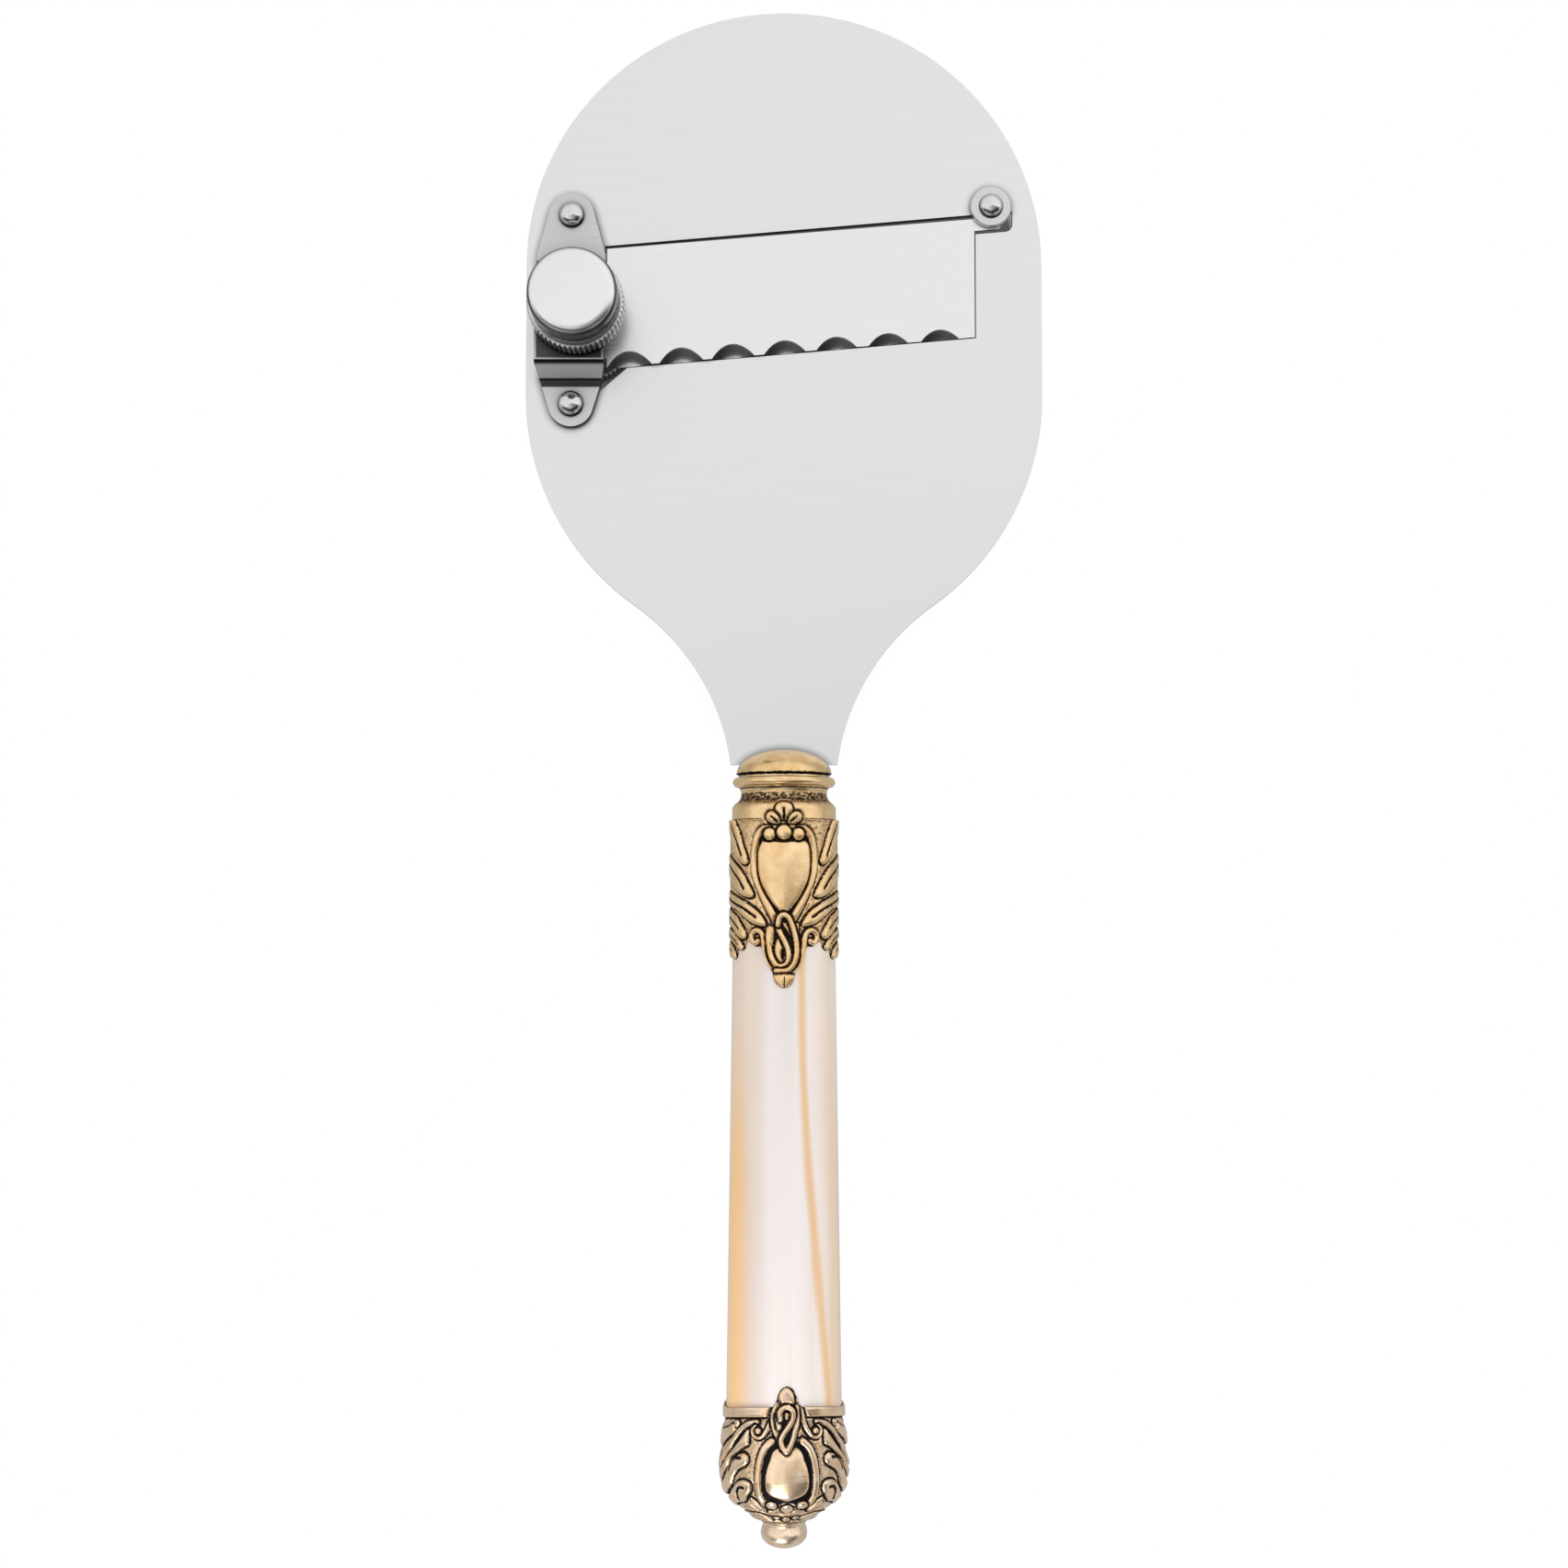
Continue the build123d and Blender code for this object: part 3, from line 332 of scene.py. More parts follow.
def brushed_steel(name, light, dark, roughness, scratch_depth=0.1, slope_finish_and_shade=None, corners=None,
                  bend_shade_lines=None, knob_shade=None):
    """Belt-finished stainless steel, with scratches that run along X."""
    material, tree = blank_material(name)
    place = object_place(tree)
    point = split(tree, place)
    along_x = stretched(tree, place, (1 / scratch_length, 1 / scratch_width, 1 / scratch_width))
    scratches = noise(tree, along_x, 1.0, 3.0)
    tone = ramp(tree, scratches, [(0.3, dark), (0.7, light)])
    gloss = remap(tree, scratches, 0.3, 0.7, roughness - 0.02, roughness + 0.03)
    metal = corner_share = 1.0
    # Darkening by slope: the sheet's unpolished sheared edges, and painted shade and painted reflection of
    # the dark surroundings on slits, walls, bends and sides.
    if slope_finish_and_shade:
        upright = calc(tree, "ABSOLUTE", surface_slope(tree)["Z"])
        corner_share = remap(tree, upright, steep, level, 0.25)
        tone = blend(tree, 1.0, tone, ramp(tree, upright, slope_finish_and_shade), "MULTIPLY")
    # Painted shade: Ambient Occlusion darkens tight corners, where shade falls, most of all on the level
    # faces.
    if corners:
        reach, darkest = corners
        cover = add(tree, "ShaderNodeAmbientOcclusion", {"samples": 12}, Distance=reach)
        shade = ramp(tree, cover.outputs["AO"], [(corner_full_at, darkest), (corner_starts_at, "#ffffff")])
        tone = blend(tree, corner_share, tone, shade, "MULTIPLY")
    # Painted shadow and reflection of the knob on the strip's level top: dark inside a pale edge.
    if knob_shade:
        middle_x, half_w, low_y, low_z = knob_shade
        off = calc(tree, "ABSOLUTE", calc(tree, "SUBTRACT", point["X"], middle_x))
        field = remap(tree, off, half_w - pale_edge, half_w - knob_shade_edge)
        for axis, low in (("Y", low_y), ("Z", low_z)):
            within = remap(tree, point[axis], low + pale_edge, low + knob_shade_edge)
            field = calc(tree, "MULTIPLY", field, within)
        tone = blend(tree, field, tone, colour("#707070"), "MULTIPLY")
    # Painted reflection: a dark line along each bend, in place of the dark surroundings that it mirrors. The
    # steep walls are also made matt.
    if bend_shade_lines:
        for y, half_w in bend_shade_lines:
            off = calc(tree, "ABSOLUTE", calc(tree, "SUBTRACT", point["Y"], y))
            line = remap(tree, off, half_w + line_blur, half_w - line_blur)
            tone = blend(tree, line, tone, colour("#505050"), "MULTIPLY")
        gloss = calc(tree, "MAXIMUM", gloss, remap(tree, upright, steep, level, 0.6, 0.0))
        metal = remap(tree, upright, steep, level, 0.35, 1.0)
    relief = bumped(tree, scratches, scratch_depth, scratch_relief)
    painted(tree, tone, Metallic=metal, Roughness=gloss, Normal=relief)
    return material


# The strip's bends are placed from its lower end.
strap_low, strap_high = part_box("bridge_bracket")
strap_x = (strap_low.x + strap_high.x) / 2
bridge_low_y = strap_low.y + 7.7 * MM
# Where the painted dark lines run along the two bends, and how wide they are.
foot_bend_shade = (bridge_low_y - 0.7 * MM, 0.52 * MM)
top_bend_shade = (bridge_low_y + 2.05 * MM, 0.25 * MM)
# The field of the knob's painted shadow and reflection on the strip's level top.
knob_shade_panel = (strap_x, 5.65 * MM, bridge_low_y + 2.3 * MM, axis_z + 4.2 * MM)

# The sheet's steep faces are darker: partly its unpolished sheared edges, partly painted shade in the slits.
# Ambient Occlusion paints contact shade round what stands on it.
sheet_steel = brushed_steel(
    "belt-finished stainless sheet", "#e2e2e2", "#dedede", 0.30, 0.06,
    slope_finish_and_shade=[(0.4, "#9c9c9c"), (0.75, "#ffffff")], corners=(1.6 * MM, "#606060"))
# The strip's walls and bends get painted reflection of the dark surroundings, its corners painted shade, and
# its level top the knob's painted shadow and reflection.
bracket_steel = brushed_steel(
    "stainless strip", "#cacaca", "#c4c4c4", 0.24, 0.05,
    slope_finish_and_shade=[(0.0, "#6a6a6a"), (0.30, "#707070"), (0.40, "#e4e4e4"), (0.50, "#e4e4e4"),
                 (0.53, "#4a4a4a"), (0.95, "#4a4a4a"), (0.985, "#ffffff")],
    corners=(8 * MM, "#404040"), bend_shade_lines=[foot_bend_shade, top_bend_shade], knob_shade=knob_shade_panel)
# Painted reflection of the dark surroundings darkens the button's shoulder and sides.
button_steel = brushed_steel(
    "satin turned stainless", "#e8e8e8", "#e4e4e4", 0.26, 0.04,
    slope_finish_and_shade=[(0.0, "#7c7c7c"), (0.25, "#747474"), (0.45, "#606060"), (0.60, "#606060"),
                 (0.76, "#ffffff")])
turned_steel = brushed_steel("turned stainless washer", "#d2d2d2", "#cccccc", 0.25, 0.06)
# Ambient Occlusion paints shade between the knurls and under the button.
knurled_steel = brushed_steel("knurled stainless", "#ececec", "#dcdcdc", 0.25, 0.1,
                              corners=(1.2 * MM, "#7c7c7c"))
inner_steel = brushed_steel("plain zinc-plated steel", "#b4b6b8", "#a4a6a8", 0.35)
# Painted reflection of the dark surroundings darkens the sides of the rivet heads.
rivet_steel = brushed_steel("polished rivet steel", "#dadada", "#d4d4d4", 0.12, 0.02,
                            slope_finish_and_shade=[(0.0, "#505050"), (0.42, "#606060"), (0.68, "#ffffff")])
print("scratches", round(scratch_width / MM, 2), "mm wide")

# %% [markdown]
# The blade is the same steel, and the hollows of its edge were ground with a coarser
# wheel. Their reflection of the dark surroundings is painted into their colour: dark,
# darkest at their arc and paler toward the cutting edge, broken by a fine grit. The
# depth below the blade's top face drives that change. The blade lies at a small tilt at
# rest, so the top face is a slanting plane.

# %% Ground hollows of the blade
pivot_low, pivot_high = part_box("blade_rivet")
pivot_x = (pivot_low.x + pivot_high.x) / 2
rest_tilt = math.radians(0.68)
blade_top, hollow_depth, grit_size = 0.5 * MM, 0.75 * MM, 0.3 * MM
level_face, hollow_face = 0.985, 0.96

blade_steel = brushed_steel("ground stainless blade steel", "#e6e6e6", "#e2e2e2", 0.28, 0.08)
tree = blade_steel.node_tree
shader = next(n for n in tree.nodes if n.type == "BSDF_PRINCIPLED")
belt_tone = shader.inputs["Base Color"].links[0].from_socket
place = object_place(tree)
height = add(tree, "ShaderNodeVectorMath", {"operation": "DOT_PRODUCT"}, i0=place,
             i1=(math.tan(rest_tilt), 0, 1)).outputs["Value"]
face_height = axis_z + blade_top + pivot_x * math.tan(rest_tilt)
depth = remap(tree, height, face_height, face_height - hollow_depth)
grit = remap(tree, noise(tree, place, 1 / grit_size, 2.0), 0.0, 1.0, -0.08, 0.08)
# Painted reflection in the hollows: dark at their arc, paler toward the cutting edge.
hollow_shade_tone = ramp(tree, calc(tree, "ADD", depth, grit), [
    (0.0, "#909090"), (0.10, "#5c5c5c"), (0.55, "#5a5a5a"), (0.80, "#767676"), (0.92, "#c0c0c0"),
    (1.0, "#e0e0e0")])
hollow = remap(tree, surface_slope(tree)["Z"], level_face, hollow_face)
tree.links.new(blend(tree, hollow, belt_tone, hollow_shade_tone), shader.inputs["Base Color"])
print("hollows", round(hollow_depth / MM, 2), "mm deep at the edge")

# %% [markdown]
# The ends of the handle are cast brass, gilt and then antiqued: a dark patina is wiped
# over the casting and rubbed off the high places, so it stays in the hollows. Each carved
# mesh carries an attribute named "patina", from 0 on a rubbed crest to 1 in a groove. The
# plain turned pieces get theirs from a list of places along the handle in mm, at their
# grooves. The lacquer over the gilding scatters some light, so the metal isn't quite a
# mirror.

# %% Antiqued brass
speck_size = 0.45 * MM
brown_patina, grey_patina = ("#7c5426", "#1e1208"), ("#74583a", "#19171a")


def antiqued_brass(name, crest, body, patina, roughness, grooves=None):
    """Gilt cast brass with patina in its hollows, of a thin and a thick colour."""
    material, tree = blank_material(name)
    place = object_place(tree)
    specks = noise(tree, place, 1 / speck_size, 4.0, 0.6)
    gilt = ramp(tree, noise(tree, place, 1 / (4 * speck_size), 3.0), [(0.30, body), (0.70, crest)])
    if grooves:
        first, last = grooves[0][0] * MM, grooves[-1][0] * MM
        stops = [((y * MM - first) / (last - first), "#%02x%02x%02x" % ((round(255 * dark),) * 3))
                 for y, dark in grooves]
        hollow = ramp(tree, remap(tree, split(tree, place)["Y"], first, last), stops)
    else:
        hollow = add(tree, "ShaderNodeAttribute", {"attribute_name": "patina"}).outputs["Fac"]
    grain = remap(tree, specks, 0.34, 0.66, -0.22, 0.26)
    wiped = remap(tree, calc(tree, "ADD", hollow, grain), 0.22, 0.84, kind="SMOOTHSTEP")
    stain = ramp(tree, wiped, [(0.10, patina[0]), (0.80, patina[1])])
    painted(tree, blend(tree, wiped, gilt, stain), Metallic=0.85,
            Roughness=remap(tree, wiped, 0.0, 1.0, roughness, 0.6),
            Normal=bumped(tree, specks, 0.35, 0.05 * MM))
    return material


upper_brass = antiqued_brass("antique gilt brass", "#fbdcae", "#edc38a", brown_patina, 0.24)
pommel_brass = antiqued_brass("pale gilt brass", "#fce4c8", "#eecba2", grey_patina, 0.22)
dome_brass = antiqued_brass("antique gilt brass, dome", "#f8d8a6", "#e4ba7e", brown_patina, 0.22, [
    (-1.62, 1.0), (-1.4, 0.6), (-0.9, 0.36), (0.2, 0.2), (1.4, 0.1), (2.5, 0.3)])
collar_brass = antiqued_brass("antique gilt brass, collar", "#f9dcae", "#e9c188", brown_patina, 0.22, [
    (-9.15, 1.0), (-8.9, 0.25), (-8.0, 0.12), (-7.3, 0.22), (-6.8, 0.60), (-6.0, 0.84), (-4.9, 0.80),
    (-4.5, 0.3), (-4.15, 0.4), (-3.95, 1.0), (-3.8, 0.5), (-3.6, 0.06), (-2.6, 0.02), (-2.3, 0.1),
    (-2.05, 0.3), (-1.85, 1.0), (-1.62, 1.0)])
finial_brass = antiqued_brass("pale gilt brass, finial", "#fae6ce", "#eaceae", grey_patina, 0.20, [
    (-125.3, 0.12), (-122.4, 0.1), (-121.6, 0.5), (-120.8, 0.62), (-119.9, 0.95)])
print("patina specks", round(speck_size / MM, 2), "mm")

# %% [markdown]
# The grip is cast acrylic made to look like mother-of-pearl: ivory with soft lengthwise
# bands, and one amber streak that drifts round the grip from top to foot. The bands are
# colour ramps over the angle round the handle's axis, one for the top and one for the
# foot, shifted by a slow noise so that no edge is ruler-straight. A smooth clear surface
# gives it its gloss.

# %% Pearl acrylic
streak_start, streak_end = math.radians(19), math.radians(52)
streak_top_y, streak_foot_y, bands_change = -33 * MM, -100 * MM, 36 * MM
streak_bend, streak_edge, streak_core, streak_strength = 2.2, 0.15, 0.02, 0.85
slow_scale, thread_scale, sway_reach = (120, 22, 120), (700, 9, 700), 0.16
pearl, tree = blank_material("cast pearl acrylic")
place = object_place(tree)
point = split(tree, place)
around = calc(tree, "ARCTAN2", point["X"], calc(tree, "SUBTRACT", point["Z"], axis_z))
slow = noise(tree, stretched(tree, place, slow_scale), 1.0, 2.0)
sway = remap(tree, slow, 0.0, 1.0, -sway_reach, sway_reach)
angle = calc(tree, "ADD", around, sway)
turn = remap(tree, angle, -math.pi, math.pi)
foot_bands = ramp(tree, turn, [
    (0.0, "#f0e2d0"), (0.10, "#f3e8e0"), (0.20, "#f3e2d0"), (0.27, "#f6d4aa"), (0.31, "#fac988"),
    (0.355, "#f6cc96"), (0.385, "#ecd2bc"), (0.41, "#e8d8d0"), (0.46, "#f1e7e4"), (0.53, "#f5edeb"),
    (0.62, "#f0e4de"), (0.655, "#ecd2b6"), (0.70, "#ead2ba"), (0.78, "#e8d6c8"), (0.90, "#f4ece8")])
top_bands = ramp(tree, turn, [
    (0.0, "#f0e2d4"), (0.10, "#f3e8e0"), (0.24, "#f0dfd0"), (0.34, "#ecd8c8"), (0.385, "#f0e0cf"),
    (0.42, "#ecdcd2"), (0.46, "#f4ecea"), (0.50, "#ece4e0"), (0.54, "#f3eae6"), (0.62, "#f0e4dc"),
    (0.66, "#ead6c4"), (0.70, "#eee4de"), (0.78, "#f0ece8"), (0.90, "#f4ece8")])
down = remap(tree, point["Y"], streak_top_y, streak_top_y - bands_change, kind="SMOOTHSTEP")
bands = blend(tree, down, top_bands, foot_bands)
share = calc(tree, "POWER", remap(tree, point["Y"], streak_top_y, streak_foot_y), streak_bend)
centre = remap(tree, share, 0.0, 1.0, streak_start, streak_end)
aside = calc(tree, "ABSOLUTE", calc(tree, "SUBTRACT", angle, centre))
streak = remap(tree, aside, streak_edge, streak_core, 0.0, streak_strength, "SMOOTHSTEP")
threads = noise(tree, stretched(tree, place, thread_scale), 1.0, 2.0)
veiled = blend(tree, remap(tree, threads, 0.5, 0.75, 0.0, 0.35), bands, colour("#f2d6b4"))
painted(tree, blend(tree, streak, veiled, colour("#ecc08a")), Roughness=0.12, IOR=1.49,
        Coat_Weight=0.3, Coat_Roughness=0.05)
print("streak from", round(math.degrees(streak_start)), "to", round(math.degrees(streak_end)), "degrees")

# %% [markdown]
# Two thin seals close the ends of the grip. They are moulded nylon, matt and slightly
# mottled. They hardly show, and still get a finish of their own.

# %% Nylon seals
mottle_size = 0.8 * MM
nylon, tree = blank_material("moulded grey nylon")
mottle = noise(tree, object_place(tree), 1 / mottle_size, 3.0)
painted(tree, ramp(tree, mottle, [(0.35, "#55524f"), (0.65, "#625f5b")]), Roughness=0.6, IOR=1.53)
print("mottling", round(mottle_size / MM, 1), "mm wide")

# %% [markdown]
# Now every sized piece takes its finish. Only the material changes: the shapes stay as
# they were modelled.

# %% Finishes of the sized pieces
finishes = {
    "slicer_plate": sheet_steel, "bridge_bracket": bracket_steel, "bracket_rivets": rivet_steel,
    "blade_rivet": rivet_steel, "rivet_washer": turned_steel, "blade": blade_steel,
    "knob_cap": button_steel, "knob_wheel": knurled_steel, "lock_wheel": knurled_steel,
    "ferrule_dome": dome_brass, "ferrule_collar": collar_brass, "upper_ferrule": upper_brass,
    "pommel_cap": pommel_brass, "pommel_finial": finial_brass, "handle_grip": pearl,
    "upper_seal": nylon, "lower_seal": nylon,
}
for name in ("knob_spindle", "spindle_clip", "knob_washer", "blade_bush", "tang_coupler", "tang_pin",
             "tie_rod", "pommel_nut"):
    finishes[name] = inner_steel
for name, finish in finishes.items():
    slots = nodes[name].data.materials
    slots.clear()
    slots.append(finish)
print("finished", len(finishes), "pieces; missing:", sorted(set(nodes) - set(finishes)))

# %% [markdown]
# The cast relief is drawn as a carver works: one element after another, each laid over
# the ones before it. An element is a bead that follows a line, a round boss, a leaf or a
# shield inside an outline, a plain band, or a vein cut into what is there. Places are the
# angle round the handle in degrees and the place along it in mm.

# %% Lines, outlines and distances
tiny, far_off = 1e-12, 1e9


def smooth_line(points, steps=6):
    """A curve through the points, as closely spaced points."""
    points = np.array(points, float)
    if len(points) < 3:
        return points
    ends = np.vstack([2 * points[0] - points[1], points, 2 * points[-1] - points[-2]])
    t = np.linspace(0, 1, steps, endpoint=False)[:, None]
    runs = []
    for a, b, c, d in zip(ends, ends[1:], ends[2:], ends[3:]):
        runs.append(0.5 * (2 * b + (c - a) * t + (2 * a - 5 * b + 4 * c - d) * t ** 2
                           + (3 * b - a - 3 * c + d) * t ** 3))
    return np.vstack(runs + [points[-1:]])


def distance_to_line(grid, line):
    """Distance in mm over the surface from each grid point to a line of angles and places."""
    angle, along, radius = grid
    nearest = np.full(angle.shape, far_off)
    starts, ends = (line, line) if len(line) == 1 else (line[:-1], line[1:])
    for (a0, y0), (a1, y1) in zip(starts, ends):
        px, py = np.radians(angle - a0) * radius, along - y0
        dx, dy = np.radians(a1 - a0) * radius, y1 - y0
        t = np.clip((px * dx + py * dy) / (dx * dx + dy * dy + tiny), 0, 1)
        nearest = np.minimum(nearest, np.hypot(px - t * dx, py - t * dy))
    return nearest


def inside_outline(grid, outline):
    """Which grid points lie inside a closed outline of angles and places."""
    angle, along, _ = grid
    inside = np.zeros(angle.shape, bool)
    for (a0, y0), (a1, y1) in zip(outline, np.roll(outline, -1, axis=0)):
        crosses = (y0 > along) != (y1 > along)
        inside ^= crosses & (angle < (a1 - a0) * (along - y0) / (y1 - y0 + tiny) + a0)
    return inside


def mirrored(points):
    """The points on the other side of the middle line."""
    return [(-a, y) for a, y in points]


def symmetric(side, foot):
    """An outline down one side, through its foot and back up the mirrored side."""
    return side + [foot] + mirrored(side)[::-1]


print("a curve through 3 points has", len(smooth_line([(0, 0), (5, 2), (9, 0)])), "points")

# %% [markdown]
# Each element has its own section: a bead and a boss are round, a leaf is nearly flat
# with rolled edges, a band is flat, and a shield swells toward its middle. A hollow is
# sunk and dark. A swell thickens a bead and leaves no groove, so that strands can join.
# Beside an edge the carver's tool leaves a groove in what lies below, and the groove
# holds the darkest patina. The ground between the elements keeps a light, uneven wash.

# %% Carving one element after another
groove_depth, hollow_edge, rim_width = 0.22, 0.15, 0.08
vein_share, ground_wash, rim_wash = 0.5, 0.36, 0.8
roundness, middle_reach = 2.2, 3
flat_steps = {"leaf": [(0.95, 0.2)], "band": [(0.75, 0.08)], "shield": [(0.55, 0.12), (0.65, 1.3)]}
round_height = {"bead": 1.0, "boss": 1.12, "swell": 1.0}


def section_height(shape, size, deep):
    """Height as a share of the crest, at a depth in mm inside an element's edge."""
    if shape in round_height:
        return round_height[shape] * np.sqrt(1 - (1 - np.clip(deep / size, 0, 1)) ** roundness)
    return sum(share * (1 - np.exp(-deep / reach)) for share, reach in flat_steps[shape])


def carve(grid, elements, crest, groove_width):
    """Height in mm over the ground, and patina from 0 to 1, at each grid point."""
    height = np.zeros(grid[0].shape)
    patina = np.full(grid[0].shape, ground_wash)
    for shape, points, size in elements:
        if shape in flat_steps or shape == "hollow":
            outline = smooth_line(list(points) + [points[0]])
            away = distance_to_line(grid, outline)
            edge = np.where(inside_outline(grid, outline), -away, away)
        else:
            edge = distance_to_line(grid, smooth_line(points)) - size
        deep = np.clip(-edge, 0, None)
        if shape == "vein":
            cut = np.exp(-np.clip(edge / size + 1, 0, None) ** 3)
            height = height - vein_share * crest * cut
            patina = np.maximum(patina, cut)
        elif shape == "hollow":
            sunk = 1 - np.exp(-(deep / hollow_edge) ** 2)
            height = height * (1 - sunk) - groove_depth * sunk
            patina = np.maximum(patina, sunk)
        elif shape == "swell":
            rise = crest * section_height(shape, size, deep)
            over = (edge < 0) & (rise > height)
            height, patina = np.where(over, rise, height), np.where(over, 0.0, patina)
        else:
            groove = np.exp(-(np.clip(edge, 0, None) / groove_width) ** 4)
            cut_down = height * (1 - groove) - groove_depth * groove
            height = np.where(edge < 0, crest * section_height(shape, size, deep), cut_down)
            rim = rim_wash * np.exp(-(deep / rim_width) ** 2)
            patina = np.where(edge < 0, rim, np.maximum(patina, groove))
    return height, patina


def both_sides(elements):
    """Each element followed by its mirror image, unless it lies on the middle line."""
    pairs = []
    for shape, points, size in elements:
        pairs.append((shape, points, size))
        off_middle = [a for a, _ in points]
        if max(off_middle) > middle_reach and min(off_middle) > -middle_reach:
            pairs.append((shape, mirrored(points), size))
    return pairs


print("grooves", groove_depth, "mm deep")

# %% [markdown]
# A sleeve's mesh is a loop of rings: down the carved outside, across the lower edge, up
# the plain inside and back. Every ring has the same number of points, so neighbouring
# rings join with quads and the wall is closed all round. The carving covers the front
# half and is repeated on the back, because both faces were cast alike.

# %% Closed pieces from rings
inner_wash = 0.8


def ring_faces(rings, around, closed):
    """Quads between neighbouring rings. A closed wall also joins its last ring to its first."""
    faces = []
    for i in range(rings if closed else rings - 1):
        low, high = i * around, (i + 1) % rings * around
        for k in range(around):
            m = (k + 1) % around
            faces.append((low + k, low + m, high + m, high + k))
    return faces


def closed_piece(name, points, faces, material):
    """An object from points and faces, with its normals turned outward."""
    mesh = bpy.data.meshes.new(name)
    mesh.from_pydata(points, [], faces)
    shaper = bmesh.new()
    shaper.from_mesh(mesh)
    bmesh.ops.recalc_face_normals(shaper, faces=shaper.faces)
    shaper.to_mesh(mesh)
    shaper.free()
    mesh.shade_smooth()
    mesh.materials.append(material)
    print(name, "faces", len(mesh.polygons))
    return in_scene(name, mesh)


def both_faces(half):
    """The columns of the front half, and once more for the back."""
    return np.hstack([half, half])


def sleeve(name, angles, carved, inner, material):
    """A closed wall from the carved front half and rings of (radius, y) for the plain inside."""
    radius, along, patina = (both_faces(half) for half in carved)
    ones = np.ones(len(angles))
    turn = np.radians(angles)
    rings = [np.stack([r * np.sin(turn), y * ones, r * np.cos(turn)], axis=1)
             for r, y in list(zip(radius, along)) + inner]
    points = np.vstack(rings) * MM + np.array([0, 0, axis_z])
    piece = closed_piece(name, points.tolist(), ring_faces(len(rings), len(angles), True), material)
    tones = np.vstack([patina] + [inner_wash * ones] * len(inner))
    dark = piece.data.attributes.new("patina", "FLOAT", "POINT")
    dark.data.foreach_set("value", tones.ravel().astype(np.float32))
    return piece


# %% [markdown]
# The upper sleeve shows a shield in a scrolled frame, with a small palmette on top, a
# looped ribbon and a drop below, and acanthus leaves that sweep in from both sides. All
# are traditional forms. The right half is drawn and mirrored. Its lower edge follows the
# carving: scrolls at the sides, and a point at the middle for the drop.

